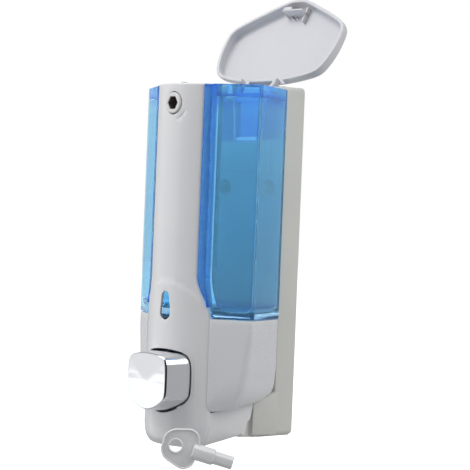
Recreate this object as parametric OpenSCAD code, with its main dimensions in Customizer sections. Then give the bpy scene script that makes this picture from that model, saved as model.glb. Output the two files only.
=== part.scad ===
// Wall mounted soap dispenser: translucent container, hinged locking lid, push pump and lift-off bracket.
// X runs right as seen from the front, the front faces -Y and the wall is the plane Y = 0.
// The origin is the middle of the wall screw pattern, half way up the body.

/* [Overall] */
// Height from the base of the front cover to the top of its column
unit_h = 200; // [190:1:240]
// Thickness of the moulded walls
wall = 2.2; // [1.8:0.1:2.4]
// Free gap between neighbouring mouldings
gap = 0.3; // [0.2:0.05:0.4]

/* [Wall bracket] */
// Width of the bracket
bracket_w = 59; // [58:1:62]
// Depth of the bracket's tray from the wall
bracket_d = 14.5; // [14:0.1:15]
// Height of the bracket's lower edge above the base
bracket_low = 6; // [5.8:0.1:7]
// Height of the bracket's top above the column
bracket_over = 2.5; // [2:0.1:3]
// Width between the wall screws
screw_dx = 34; // [30:1:38]
// Height between the wall screws
screw_dz = 90; // [80:1:100]
// Diameter of the wall screw holes
screw_hole_d = 4.6; // [4:0.1:5]
// Width of the foot that stands out under the unit
foot_w = 54; // [52:0.5:54]
// Distance of the foot's front from the wall
foot_d = 36; // [34:0.5:36]
// Height of the foot's top above the base
foot_top = 36.5; // [34:0.5:36.5]

/* [Container] */
// Width over the two side creases
crease_w = 92.8; // [90:0.2:96]
// Distance of the creases from the wall
crease_y = 51.1; // [50:0.1:52]
// Width of the container's back
rear_w = 66; // [64:0.5:68]
// Distance of the container's back from the wall
rear_y = 16.2; // [16.1:0.1:16.4]
// Width between the ridges beside the column
ridge_w = 42.8; // [42:0.1:44]
// Height of the container's underside above the base
floor_z = 71.9; // [71.9:0.1:73]
// Thickness of the container's floor
floor_t = 3; // [2.5:0.1:4]
// Distance of the column channel's floor from the wall
channel_y = 60; // [59.5:0.1:60]

/* [Front cover] */
// Width of the column
column_w = 36.3; // [36:0.1:37]
// Width of the lower mask
mask_w = 50.4; // [50:0.1:51]
// Distance of the cover's front from the wall
front_y = 74; // [74:0.1:74.5]
// Radius of the crowned front in plan
crown_r = 34.4; // [34:0.1:35]
// Height where the column starts to flare
flare_top = 95; // [93:0.5:97]
// Height where the flare ends
flare_low = 70; // [69:0.5:71]
// Height of the middle of the sight window
window_z = 77.5; // [77:0.5:79]

/* [Lid] */
// Angle of the open lid from its closed place
lid_open = 120; // [100:1:120]
// Distance of the hinge axis from the wall
hinge_y = 8.3; // [8.2:0.1:8.6]
// Height of the hinge axis above the container's top
hinge_up = 1.2; // [1.2:0.1:1.6]
// Depth of the lid's skirt
lid_h = 7.5; // [7:0.1:8]

/* [Pump] */
// Height of the pump's axis above the base
pump_z = 37; // [36.5:0.1:37.5]
// Travel of the push button
travel = 9; // [8:0.5:9]
// Bore of the pump barrel
bore_d = 16; // [15.5:0.1:16]
// Distance of the button's face from the wall
button_y = 86; // [85.5:0.1:86.5]
// Distance of the inlet and outlet from the wall
port_y = 45.5; // [45.3:0.1:45.7]

/* [Lock] */
// Distance of the lock's axis below the column's top
lock_down = 10.7; // [10.5:0.1:11]
// Diameter of the lock barrel
lock_d = 11.6; // [11:0.1:11.8]
// Key socket, across its flats
key_af = 6.8; // [6.6:0.1:7]

/* [Hidden] */
$fn = 64;

far = 300;
half = 0.5;
bracket_top = unit_h + bracket_over;
cup_d = 14;
cup_floor = 2.5;
notch_w = 38;
notch_z = unit_h - 5;
wedge_top = unit_h - 6;
wedge_low = unit_h - 28;
wedge_top_w = 25;
wedge_low_w = 20;
rib = 2;
head_over = 3;
knuckle_x = 14.3;
knuckle_w = 3.8;
knuckle_r = 2.3;
pin_r = 1.2;
lug_x = 10.6;
lug_w = 2.6;
hinge_z = unit_h + hinge_up;
rim_drop = 0.9;
lock_z = unit_h - lock_down;
lock_face = front_y + 0.3;
boss_back = front_y - 7;
cam_front = boss_back - 0.8;
cam_t = 1.6;
cam_len = 14.2;
cam_w = 4.8;
hook_t = 1.8;
hook_a = 28;
neck_w = 5;
side_back = 29.3;
key_at = [22, -77.3, 2];
key_turn = 45.5;
key_tip = 15;
deck_top = floor_z - gap;
recess_w = foot_w + 1.2;
recess_y = foot_d + 0.4;
recess_z = foot_top + 0.5;
bore_r = bore_d / 2;
barrel_r = bore_r + 2.5;
barrel_front = 62;
barrel_back = barrel_front - travel - 14;
cap_front = 65;
rod_r = 3;
cage_z = pump_z + 13;
ball_r = 2.5;
ball_z = cage_z + 1.2 + ball_r + 0.02;
seat_z = cage_z + 6.5;
port_r = 5;
neck_r = 8;
neck_low = floor_z - 8.4;
flange_z = neck_low - 1.5;
outlet_z = 16;

// ---------- outlines ----------
function unit(v) = v / norm(v);
function outward(v) = unit([v[1], -v[0]]);
// A closed counter-clockwise outline moved outwards by d, or inwards where d is negative
function grown(p, d) = [
    for (i = [0 : len(p) - 1])
        let (
            a = outward(p[i] - p[(i + len(p) - 1) % len(p)]),
            b = outward(p[(i + 1) % len(p)] - p[i]),
            m = unit(a + b)
        )
        p[i] + m * d / (m * a)
];
// A right-hand half outline, bottom to top, closed by its mirror image
function mirrored(p) = concat(p, [for (i = [len(p) - 1 : -1 : 0]) [-p[i][0], p[i][1]]]);
function smooth(t) = t * t * (3 - 2 * t);
function arc(c, rx, ry, a0, a1, n) = [
    for (i = [0 : n]) let (a = a0 + (a1 - a0) * i / n) c + [rx * cos(a), ry * sin(a)]
];

// Container and housing in plan: back corners, creases, and the ridges beside the column
function body_plan(ridge) = [
    [ridge, -front_y + 8 + (ridge - ridge_w / 2) * 0.6],
    [crease_w / 2, -crease_y],
    [rear_w / 2, -rear_y - 2],
    [rear_w / 2 - 2.5, -rear_y],
    [2.5 - rear_w / 2, -rear_y],
    [-rear_w / 2, -rear_y - 2],
    [-crease_w / 2, -crease_y],
    [-ridge, -front_y + 8 + (ridge - ridge_w / 2) * 0.6]
];

// Half width of the cover at a height, in its flare
function flare_w(z) =
    column_w / 2 + (mask_w - column_w) / 2 * smooth((flare_top - z) / (flare_top - flare_low));
// Right half of the cover seen from the front: rounded foot, mask, flare and column
function cover_half() = concat(
    arc([mask_w / 2 - 10.2, 14], 10.2, 14, -90, 0, 8),
    [for (i = [0 : 8]) let (z = flare_low + (flare_top - flare_low) * i / 8) [flare_w(z), z]],
    [[column_w / 2, unit_h]]
);

// Right half of the push button seen from the front, about the pump's axis
function button_half() = [
    [0, -16.4], [4.5, -15.8], [9, -14], [13, -11.4], [15.2, -9], [16, -6], [16, 5],
    [15.6, 9.5], [14.6, 12.2], [12, 13.8], [6, 14.7], [0, 15]
];
function button_outline(g) = grown(
    let (p = button_half()) concat(p, [for (i = [len(p) - 2 : -1 : 1]) [-p[i][0], p[i][1]]]),
    g
);

// Right half of the lid in plan, from the hinge forwards, and closed by its mirror image
function lid_outline(g) = grown(
    mirrored([
        [8, 64.2], [12.3, 61.8], [15, 60], [40.5, 47.3], [45.5, 44.2], [47.1, 41.4], [46.9, 28],
        [44.6, 17], [42, 13.2], [38.5, 12], [30, 12.2], [21.7, 10.6], [12, 8.6]
    ]),
    g
);

// ---------- shared tools ----------
// Heights in the modules count from the base; the origin is half way up
module from_base() translate([0, 0, -unit_h / 2]) children();
// A flat shape in X and Z, extruded from one distance from the wall to a nearer one
module to_wall(from, to) translate([0, -to, 0]) rotate([90, 0, 0]) linear_extrude(from - to) children();
// A round rod along Y, between two distances from the wall
module rod_y(r, from, to, x = 0, z = 0)
    translate([x, -to, z]) rotate([90, 0, 0]) cylinder(r = r, h = from - to);
// A round rod along X, centred on x
module rod_x(r, w, x, y, z) translate([x - w / 2, y, z]) rotate([0, 90, 0]) cylinder(r = r, h = w);
// A box given by its lowest and highest corners
module box(a, b) translate(a) cube(b - a);
// A flat shape in Y and Z, extruded across the width w about the middle
module across(w) translate([-w / 2, 0, 0]) rotate([90, 0, 90]) linear_extrude(w) children();
module both_sides() {
    children();
    mirror([1, 0, 0]) children();
}
module screw(head_r, head_h, shank_r, shank_h) {
    difference() {
        cylinder(r = head_r, h = head_h);
        for (a = [0, 90])
            rotate([0, 0, a]) translate([-head_r * 0.6, -0.35, head_h - 0.9]) cube([head_r * 1.2, 0.7, 1]);
    }
    translate([0, 0, -shank_h]) cylinder(r = shank_r, h = shank_h);
}

// ---------- bracket ----------
module tray_outline(g) {
    r = 3;
    x = bracket_w / 2 - g;
    polygon(mirrored(concat(
        arc([x - r, bracket_low + g + r], r, r, -90, 0, 6),
        arc([x - r, bracket_top - g - r], r, r, 0, 90, 6)
    )));
}
module foot_outline(g) {
    x = foot_w / 2 - g;
    y = foot_d - g;
    polygon(mirrored([
        [x - 8, -y], [x - 4.4, -y + 2], [x - 2.7, -y + 5], [x - 2.7, -29], [x, -27.4], [x, 0]
    ]));
}
module screw_places() {
    for (x = [-1, 1], z = [-1, 1]) translate([x * screw_dx / 2, 0, unit_h / 2 + z * screw_dz / 2]) children();
}
module wedge_shape(g) {
    polygon([
        [-wedge_low_w / 2 - g, wedge_low - g], [wedge_low_w / 2 + g, wedge_low - g],
        [wedge_top_w / 2 + g, wedge_top + g], [-wedge_top_w / 2 - g, wedge_top + g]
    ]);
}

module wall_bracket() from_base() color([0.86, 0.86, 0.83]) difference() {
    union() {
        difference() {
            union() {
                to_wall(bracket_d, 0) tray_outline(0);
                translate([0, 0, bracket_low - half])
                    linear_extrude(foot_top - bracket_low + half) foot_outline(0);
                // Pad that steadies the container's back
                box([-17, -bracket_d - 1.3, unit_h - 45.4], [17, -bracket_d + 1, unit_h - 29]);
            }
            to_wall(bracket_d - wall, -1) tray_outline(wall);
            translate([0, 0, bracket_low - half + wall])
                linear_extrude(foot_top - bracket_low + half - 2 * wall) intersection() {
                    foot_outline(wall);
                    translate([-far / 2, -far]) square([far, far + 1]);
                }
        }
        // Cups that carry the wall screws
        screw_places() rod_y(cup_d / 2, bracket_d, 0);
        // Side ribs that stiffen the tray
        both_sides() box([bracket_w / 2 - 9, -bracket_d + 1, 60], [bracket_w / 2 - 7.5, -2, 62]);
    }
    screw_places() {
        rod_y(cup_d / 2 - wall, bracket_d + 1, cup_floor);
        rod_y(screw_hole_d / 2, bracket_d, -1);
    }
    // Notch for the lid's hinge, and the tapered socket below it that takes the container's wedge
    box([-notch_w / 2, -bracket_d - 1, notch_z], [notch_w / 2, 1, bracket_top + 1]);
    to_wall(bracket_d + 0.5, bracket_d - wall - 0.5) polygon([
        [-wedge_low_w / 2 - 0.5, wedge_low - 0.4], [wedge_low_w / 2 + 0.5, wedge_low - 0.4],
        [wedge_top_w / 2 + 0.6, notch_z + 1], [-wedge_top_w / 2 - 0.6, notch_z + 1]
    ]);
}

// ---------- container ----------
module channel(g, depth) {
    // Room for the cover's column, with a step beside it that runs out at the flare's foot
    step = ridge_w / 2 - column_w / 2;
    to_wall(far, depth) polygon(mirrored(concat(
        [[mask_w / 2 + gap + g, 0]],
        [
            for (i = [0 : 8])
                let (t = i / 8, z = flare_low + (flare_top - flare_low) * t)
                [max(flare_w(z) + step * smooth(t), flare_w(z) + gap) + g, z]
        ],
        [[ridge_w / 2 + g, far]]
    )));
}

module container() from_base() color([0.16, 0.55, 0.85, 0.45]) difference() {
    union() {
        difference() {
            translate([0, 0, floor_z]) linear_extrude(unit_h - floor_z) polygon(body_plan(ridge_w / 2));
            channel(0, channel_y);
            difference() {
                translate([0, 0, floor_z + floor_t]) linear_extrude(unit_h)
                    polygon(grown(body_plan(ridge_w / 2), -wall));
                channel(wall, channel_y - wall);
            }
        }
        // Outlet neck below the floor
        translate([0, -port_y, neck_low]) cylinder(r = neck_r, h = floor_z + floor_t - neck_low);
        // Tapered wedge on the back that drops into the bracket's socket
        difference() {
            union() {
                to_wall(rear_y + 0.5, bracket_d - wall - 0.6) wedge_shape(0);
                to_wall(bracket_d - wall - 0.5, bracket_d - wall - 2.5) wedge_shape(head_over);
            }
            // Its hollow, open at the top
            to_wall(rear_y - 0.01, bracket_d - wall - 0.5) polygon([
                [rib - wedge_low_w / 2, wedge_low + rib], [wedge_low_w / 2 - rib, wedge_low + rib],
                [wedge_top_w / 2 - rib, wedge_top + 5], [rib - wedge_top_w / 2, wedge_top + 5]
            ]);
        }
        // Ears that carry the hinge pin
        for (x = [-knuckle_x, knuckle_x]) {
            rod_x(knuckle_r, knuckle_w, x, -hinge_y, hinge_z);
            box([x - knuckle_w / 2, -rear_y - 0.2, unit_h - 4], [x + knuckle_w / 2, -hinge_y, unit_h + 1]);
        }
    }
    translate([0, -port_y, 0]) cylinder(r = port_r + 0.3, h = far);
    rod_x(pin_r, 2 * knuckle_x + 20, 0, -hinge_y, hinge_z);
}

// ---------- housing ----------
module housing_front(g) {
    polygon(grown(mirrored([
        [24, 20.5], [31, 22.6], [38.5, 28.6], [43, 38], [45, 48], [46.2, 60],
        [crease_w / 2, deck_top]
    ]), -g));
}
module housing_side(g) {
    polygon(grown([
        [-64, deck_top], [-64, 22], [-60, 20.5], [-48, 24.7], [-38, 26.7], [-30, 29.6], [-22, 33.4],
        [-17.6, 38], [-rear_y, 44], [-rear_y, deck_top]
    ], -g));
}
module housing_block(g) intersection() {
    linear_extrude(deck_top) polygon(grown(body_plan(mask_w / 2 + gap), -g));
    to_wall(far, 0) housing_front(g);
    across(far) housing_side(g);
}
module recess(g) box([-recess_w / 2 - g, -recess_y - g, 0], [recess_w / 2 + g, 0, recess_z + g]);
// Where the cover's screws sit, as seen from the front
function tab_places() = [[20.8, 61], [-20.8, 61], [20.8, 30], [-20.8, 30]];
pump_screw_x = 16.5;
pump_screw_z = pump_z - 4;

module lower_housing() from_base() color([0.93, 0.93, 0.94]) difference() {
    union() {
        difference() {
            housing_block(0);
            housing_block(wall);
        }
        intersection() {
            housing_block(0.01);
            difference() {
                recess(wall);
                recess(0);
            }
        }
        // Tabs that the cover screws pull on
        for (p = tab_places()) to_wall(56.5, 54.5) translate(p) square([10, 9], center = true);
        // Cheeks beside the cover
        both_sides() box([mask_w / 2 + gap, -62, 23], [mask_w / 2 + gap + wall, -46, deck_top - 1]);
        // Bosses for the pump's screws
        both_sides() rod_y(3.6, 40.3, recess_y + 1, pump_screw_x, pump_screw_z);
    }
    recess(0);
    box([-mask_w / 2 - gap, -far, 0], [mask_w / 2 + gap, -57, far]);
    // Way out for the pump's outlet, open to the front so that the pump slides in
    hull() for (y = [port_y, far]) translate([0, -y, outlet_z]) cylinder(r = port_r + gap, h = 14);
    // Room in the floor for the barrel's back end
    box([-7, -port_y, 0], [7, 0.3 - barrel_back, 30]);
    translate([0, -port_y, deck_top - 5]) cylinder(r = neck_r + gap, h = 10);
    for (p = tab_places()) rod_y(1.7, 60, 50, p[0], p[1]);
    both_sides() rod_y(1.5, 45, recess_y + 0.6, pump_screw_x, pump_screw_z);
}

// ---------- front cover ----------
module cover_shape(g) polygon(grown(mirrored(cover_half()), -g));
module crown(g) linear_extrude(far) intersection() {
    translate([0, -front_y + crown_r]) circle(r = crown_r - g, $fn = 128);
    translate([-far / 2, -far]) square([far, far - channel_y + 4]);
}
// One side wall below the housing, from the ridge back to the bracket's foot
module side_wall() intersection() {
    linear_extrude(40) polygon([
        [23, -64], [mask_w / 2, -63], [27, -38], [27, -side_back],
        [27 - wall, -side_back], [27 - wall, -38], [23, -60]
    ]);
    across(far) polygon([
        [-66, 8], [-62, 3.2], [-57, 1], [-38, 6.7], [-34.6, 7.4], [-33.2, 14.8], [-31, 15.6], [-28.6, 24],
        [-28.8, 28.6], [-38, 25.6], [-48, 23.6], [-60, 19.4], [-66, 20]
    ]);
}
module window_shape(g) {
    translate([0, window_z - 3.6]) circle(r = 4 + g);
    translate([0, window_z + 5.2]) circle(r = 2.9 + g);
    polygon([
        [-4 - g, window_z - 3.6], [4 + g, window_z - 3.6],
        [2.9 + g, window_z + 5.2], [-2.9 - g, window_z + 5.2]
    ]);
}

module front_cover() from_base() color([0.95, 0.95, 0.96]) difference() {
    union() {
        // Crowned skin, with its flanges and top
        intersection() {
            to_wall(far, channel_y + 1) cover_shape(0);
            crown(0);
            difference() {
                box([-far, -far, 0], [far, 0, unit_h]);
                intersection() {
                    to_wall(far, 0) cover_shape(wall);
                    crown(wall);
                    box([-far, -far, -1], [far, 0, unit_h - wall]);
                }
            }
        }
        both_sides() side_wall();
        // Bottom wall
        across(50) polygon([[-66, 0.2], [-57, 1], [-38, 6.7], [-38, 8.9], [-57, 3.2], [-64, 3], [-68, 4]]);
        // Lug that centres the lid's nose
        box([1, -front_y + 4.2, unit_h - 1], [4.6, -front_y + 6.2, unit_h + 1.3]);
        // Guide for the lock barrel
        rod_y(8, front_y - 1.5, boss_back, 0, lock_z);
        // Bosses for the cover screws
        for (p = tab_places()) rod_y(3, 67, 56.8, p[0], p[1]);
    }
    rod_y(lock_d / 2 + 0.1, far, boss_back - 1, 0, lock_z);
    to_wall(far, channel_y) window_shape(0);
    to_wall(far, channel_y) translate([0, pump_z]) polygon(button_outline(2));
    // Slot for the lid's latch and the lock's cam
    box([-8.9, -cam_front - 0.7, unit_h - wall - 1], [12.6, -cam_front + 3.7, unit_h + 1]);
    for (p = tab_places()) rod_y(1.3, 64, 50, p[0], p[1]);
    // Way out for the nozzle
    translate([0, -port_y, -1]) cylinder(r = 7.4, h = 15);
    box([-7.4, -port_y, -1], [7.4, 0, 15]);
}

// ---------- lid ----------
// The lid closed, with the hinge axis at the origin
module lid_closed() {
    difference() {
        union() {
            translate([0, 0, -rim_drop]) linear_extrude(lid_h - 3.2)
                polygon([for (p = lid_outline(0)) [p[0], -p[1]]]);
            hull() for (k = [[0, 0], [2, 0.7], [3.2, 3.2]])
                translate([0, 0, lid_h - 3.21 - rim_drop + k[0] - 0.01]) linear_extrude(0.02)
                    polygon([for (p = lid_outline(k[1])) [p[0], -p[1]]]);
        }
        translate([0, 0, -rim_drop - 1]) linear_extrude(lid_h - 1)
            polygon([for (p = lid_outline(2)) [p[0], -p[1]]]);
    }
    // Lugs on the hinge pin
    both_sides() {
        rod_x(knuckle_r, lug_w, lug_x, 0, 0);
        box([lug_x - lug_w / 2, -10.5, -rim_drop], [lug_x + lug_w / 2, 0, knuckle_r]);
    }
    // Latch: two ribs, a plate behind the cam, and the ledge that the cam's hook slides over
    latch_y = hinge_y - cam_front;
    low = unit_h - 1.4 - hinge_z;
    ceiling = lid_h - 2.5;
    for (x = [-8, 6.8]) box([x, latch_y - 2, 0], [x + 1.2, latch_y + 8, ceiling]);
    box([-8, latch_y + cam_t + 0.3, low], [8, latch_y + cam_t + 1.6, ceiling]);
    box([-8, latch_y, low], [-1.4, latch_y + cam_t + 1, unit_h + 0.2 - hinge_z]);
    box([-8, latch_y, low], [-6.8, latch_y + cam_t + 1, ceiling]);
}
module lid() from_base() color([0.93, 0.93, 0.94]) translate([0, -hinge_y, hinge_z])
    rotate([-lid_open, 0, 0]) difference() {
        lid_closed();
        rod_x(pin_r + 0.07, 60, 0, 0, 0);
    }

module hinge_pin() from_base() color([0.75, 0.76, 0.78])
    rod_x(pin_r, 2 * knuckle_x + knuckle_w, 0, -hinge_y, hinge_z);

// ---------- lock ----------
module lock_barrel() from_base() color([0.9, 0.9, 0.91]) difference() {
    union() {
        rod_y(lock_d / 2, lock_face, cam_front, 0, lock_z);
        translate([-neck_w / 2, -cam_front, lock_z - neck_w / 2]) cube([neck_w, cam_t, neck_w]);
    }
    // Six-sided key socket, with flats above and below
    translate([0, -lock_face - 1, lock_z]) rotate([-90, 0, 0])
        cylinder(r = key_af / 2 / cos(30), h = 6.5, $fn = 6);
    // Groove for the clip
    difference() {
        rod_y(lock_d, boss_back - 0.1, cam_front, 0, lock_z);
        rod_y(lock_d / 2 - 0.8, boss_back, cam_front - 1, 0, lock_z);
    }
    rod_y(1.3, cam_front + 2, cam_front - cam_t - 1, 0, lock_z);
}
module lock_clip() from_base() color([0.7, 0.71, 0.73]) difference() {
    rod_y(7.4, boss_back - 0.1, cam_front, 0, lock_z);
    rod_y(lock_d / 2 - 0.8, boss_back + 1, cam_front - 1, 0, lock_z);
    box([-2, -boss_back - 1, lock_z - 10], [2, -cam_front + 1, lock_z]);
}
module lock_cam() from_base() color([0.7, 0.71, 0.73]) difference() {
    union() {
        rod_y(4.6, cam_front, cam_front - cam_t, 0, lock_z);
        box([0, -cam_front, lock_z - cam_w / 2], [cam_len - 0.3, -cam_front + cam_t, lock_z + cam_w / 2]);
        // Hook along the rim
        intersection() {
            difference() {
                rod_y(cam_len, cam_front, cam_front - cam_t, 0, lock_z);
                rod_y(cam_len - hook_t, cam_front + 1, 0, 0, lock_z);
            }
            to_wall(far, 0) translate([0, lock_z]) polygon([
                [0, -cam_w / 2], [far, -cam_w / 2], [far, far * tan(hook_a)], [0, 0]
            ]);
        }
    }
    translate([-neck_w / 2, -cam_front - 1, lock_z - neck_w / 2]) cube([neck_w, cam_t + 2, neck_w]);
}
module cam_screw() from_base() color([0.7, 0.71, 0.73])
    translate([0, -cam_front + cam_t, lock_z]) rotate([-90, 0, 0]) screw(3.4, 1.5, 1.3, cam_t + 1.8);

// ---------- pump ----------
module push_button() from_base() color([0.8, 0.81, 0.83]) translate([0, 0, pump_z]) {
    difference() {
        union() {
            hull() {
                to_wall(button_y, button_y - 0.2) polygon(button_outline(-1.4));
                to_wall(button_y - 1.4, button_y - 1.6) polygon(button_outline(0));
                to_wall(70.2, 70) polygon(button_outline(1.4));
            }
            to_wall(70.1, 66) polygon(button_outline(1.4));
        }
        hull() {
            to_wall(button_y - 1.8, button_y - 2) polygon(button_outline(-1.8));
            to_wall(66, 65) polygon(button_outline(-0.2));
        }
    }
    // Socket for the plunger rod
    difference() {
        rod_y(4.6, button_y - 1, button_y - 9);
        rod_y(rod_r, button_y - 3, button_y - 10);
    }
}
module plunger_rod() from_base() color([0.9, 0.9, 0.9])
    rod_y(rod_r, button_y - 3, barrel_front - 2, 0, pump_z);
module piston() from_base() color([0.9, 0.9, 0.9]) difference() {
    union() {
        rod_y(bore_r - 0.3, barrel_front - 0.5, barrel_front - 1.8, 0, pump_z);
        rod_y(bore_r - 2, barrel_front - 1.7, barrel_front - 3.8, 0, pump_z);
        rod_y(bore_r - 0.3, barrel_front - 3.7, barrel_front - 5, 0, pump_z);
    }
    rod_y(rod_r, barrel_front, barrel_front - 2, 0, pump_z);
}
module piston_seal() from_base() color([0.15, 0.15, 0.16]) difference() {
    rod_y(bore_r - 0.05, barrel_front - 1.8, barrel_front - 3.7, 0, pump_z);
    rod_y(bore_r - 2, barrel_front - 1, barrel_front - 5, 0, pump_z);
}
module return_spring() from_base() color([0.7, 0.71, 0.73]) difference() {
    rod_y(6.8, button_y - 2.1, cap_front + 0.1, 0, pump_z);
    rod_y(5.4, button_y, cap_front - 1, 0, pump_z);
}
module pump_barrel() from_base() color([0.88, 0.89, 0.9]) difference() {
    union() {
        rod_y(barrel_r, barrel_front, barrel_back, 0, pump_z);
        // Inlet above and outlet below
        translate([0, -port_y, pump_z]) cylinder(r = port_r, h = floor_z - 5 - pump_z);
        translate([0, -port_y, flange_z - 2.5]) cylinder(r = neck_r, h = 2.5);
        translate([0, -port_y, outlet_z]) cylinder(r = port_r, h = pump_z - outlet_z);
        // Ears for the pump's screws
        box([-20.5, -42.8, pump_screw_z - 3.5], [20.5, -40.4, pump_screw_z + 4]);
    }
    rod_y(bore_r, barrel_front + 1, barrel_back + 2, 0, pump_z);
    translate([0, -port_y, pump_z]) cylinder(r = 2.4, h = far);
    translate([0, -port_y, cage_z]) cylinder(r = 2.9, h = seat_z - cage_z);
    translate([0, -port_y, outlet_z - 1]) cylinder(r = 2.4, h = pump_z - outlet_z);
    both_sides() rod_y(1.65, 50, 38, pump_screw_x, pump_screw_z);
}
module pump_cap() from_base() color([0.88, 0.89, 0.9]) difference() {
    rod_y(barrel_r + 1.7, cap_front, barrel_front - 6, 0, pump_z);
    rod_y(barrel_r, barrel_front, barrel_front - 7, 0, pump_z);
    rod_y(rod_r + 0.06, cap_front + 1, barrel_front - 1, 0, pump_z);
}
module valve_cage() from_base() color([0.8, 0.82, 0.84]) translate([0, -port_y, cage_z]) difference() {
    cylinder(r = 2.88, h = 1.2);
    for (a = [0 : 90 : 270]) rotate([0, 0, a]) translate([1.5, 0, -1]) cylinder(r = 0.7, h = 4);
}
module inlet_ball() from_base() color([0.75, 0.76, 0.78]) translate([0, -port_y, ball_z]) sphere(r = ball_r);
module outlet_valve() from_base() color([0.85, 0.86, 0.88, 0.8]) translate([0, -port_y, 0]) difference() {
    union() {
        translate([0, 0, outlet_z - 1.5]) cylinder(r = 4.8, h = 1.5);
        translate([0, 0, outlet_z - 5]) cylinder(r = 3.2, h = 4);
        translate([0, 0, outlet_z - 8]) intersection() {
            cylinder(r = 3.2, h = 3.1);
            translate([-4, -1, 0]) cube([8, 2, 4]);
        }
    }
    translate([0, 0, outlet_z - 4]) cylinder(r = 2.3, h = 5);
    translate([-2, -0.15, outlet_z - 9]) cube([4, 0.3, 6]);
}
module nozzle() from_base() color([0.88, 0.89, 0.9]) translate([0, -port_y, 0]) difference() {
    union() {
        translate([0, 0, outlet_z - 8]) cylinder(r = 6.6, h = 14);
        translate([0, 0, outlet_z - 12.5]) cylinder(r = 4.6, h = 5);
    }
    translate([0, 0, outlet_z - 1.5]) cylinder(r = port_r, h = 12);
    translate([0, 0, outlet_z - 10]) cylinder(r = 3.6, h = 9);
    cylinder(r = 3, h = 12);
}
module outlet_gasket() from_base() color([0.15, 0.15, 0.16]) translate([0, -port_y, flange_z]) difference() {
    cylinder(r = neck_r - 0.3, h = 1.5);
    translate([0, 0, -1]) cylinder(r = port_r, h = 4);
}
module outlet_nut() from_base() color([0.9, 0.9, 0.91])
    translate([0, -port_y, deck_top - wall - 4.5]) difference() {
        cylinder(r = 12.4, h = 4.5, $fn = 6);
        translate([0, 0, -1]) cylinder(r = neck_r, h = 7);
    }

// ---------- screws ----------
module pump_screws() from_base() color([0.72, 0.73, 0.75])
    both_sides() translate([pump_screw_x, -42.8, pump_screw_z]) rotate([90, 0, 0]) screw(2.8, 1.6, 1.5, 5.6);
module cover_screws() from_base() color([0.72, 0.73, 0.75])
    for (p = tab_places()) translate([p[0], -54.5, p[1]]) rotate([-90, 0, 0]) screw(2.8, 1.6, 1.3, 9);

// ---------- key ----------
// Flat moulded key lying in X and Z, bow at the origin, shank along +X
module key_flat() {
    difference() {
        to_wall(1.5, -1.5) hull() for (s = [-1, 1]) {
            translate([-3.2, 1.5 * s]) circle(r = 8);
            translate([2.2, 4.6 * s]) circle(r = 6.6);
        }
        rod_y(3.3, 3, -3, -3.6, 0);
    }
    // Thick part of the shank, then the end that fits the lock
    translate([6, 0, 0]) rotate([0, 90, 0]) cylinder(r = 4.6, h = 12, $fn = 6);
    translate([17, 0, 0]) rotate([0, 90, 0]) cylinder(r = (key_af - 0.3) / 2 / cos(30), h = 12, $fn = 6);
}
module key() from_base() color([0.9, 0.9, 0.92, 0.8])
    translate(key_at) rotate([0, 0, key_turn]) rotate([0, key_tip, 0]) key_flat();

wall_bracket();
container();
lower_housing();
front_cover();
lid();
hinge_pin();
lock_barrel();
lock_clip();
lock_cam();
cam_screw();
push_button();
plunger_rod();
piston();
piston_seal();
return_spring();
pump_barrel();
pump_cap();
valve_cage();
inlet_ball();
outlet_valve();
nozzle();
outlet_gasket();
outlet_nut();
pump_screws();
cover_screws();
key();
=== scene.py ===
import math

import bmesh
import bpy
from mathutils import Matrix, Vector
from mathutils.geometry import delaunay_2d_cdt


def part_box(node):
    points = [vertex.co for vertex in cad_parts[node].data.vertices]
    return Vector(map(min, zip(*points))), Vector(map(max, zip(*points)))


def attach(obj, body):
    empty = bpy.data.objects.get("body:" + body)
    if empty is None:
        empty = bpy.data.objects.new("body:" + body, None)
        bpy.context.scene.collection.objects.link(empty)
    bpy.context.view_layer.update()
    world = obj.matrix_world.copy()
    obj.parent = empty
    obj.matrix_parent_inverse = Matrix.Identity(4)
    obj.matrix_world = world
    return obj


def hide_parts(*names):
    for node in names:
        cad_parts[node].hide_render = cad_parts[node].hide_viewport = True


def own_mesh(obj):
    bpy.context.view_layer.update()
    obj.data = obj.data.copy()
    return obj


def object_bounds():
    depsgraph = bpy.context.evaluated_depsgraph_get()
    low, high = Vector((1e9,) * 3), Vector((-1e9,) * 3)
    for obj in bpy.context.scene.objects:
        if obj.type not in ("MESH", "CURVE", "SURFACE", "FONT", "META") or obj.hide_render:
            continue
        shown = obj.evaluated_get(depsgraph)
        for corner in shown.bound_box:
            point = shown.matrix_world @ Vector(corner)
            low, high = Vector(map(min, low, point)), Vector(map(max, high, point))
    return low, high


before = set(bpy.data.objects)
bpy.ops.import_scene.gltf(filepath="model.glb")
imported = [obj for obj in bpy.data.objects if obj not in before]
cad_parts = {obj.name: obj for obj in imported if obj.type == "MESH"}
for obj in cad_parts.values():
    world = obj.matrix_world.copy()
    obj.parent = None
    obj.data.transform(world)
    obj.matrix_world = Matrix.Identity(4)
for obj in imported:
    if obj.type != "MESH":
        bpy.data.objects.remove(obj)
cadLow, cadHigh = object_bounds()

mm = 0.001
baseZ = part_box("front_cover")[0].z  # everything below is in mm: right, out from the wall, up from the base
hingeLow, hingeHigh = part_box("hinge_pin")
hingeD = -(hingeLow.y + hingeHigh.y) / 2 / mm
hingeH = ((hingeLow.z + hingeHigh.z) / 2 - baseZ) / mm
lockLow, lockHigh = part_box("lock_barrel")
lockH = ((lockLow.z + lockHigh.z) / 2 - baseZ) / mm
pumpLow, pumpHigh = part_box("pump_cap")
pumpH = ((pumpLow.z + pumpHigh.z) / 2 - baseZ) / mm
nozzleLow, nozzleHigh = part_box("nozzle")
portD = -(nozzleLow.y + nozzleHigh.y) / 2 / mm


# small tools for outlines and sheets

def spot(x, d, h):
    return Vector((x * mm, -d * mm, baseZ + h * mm))


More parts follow.
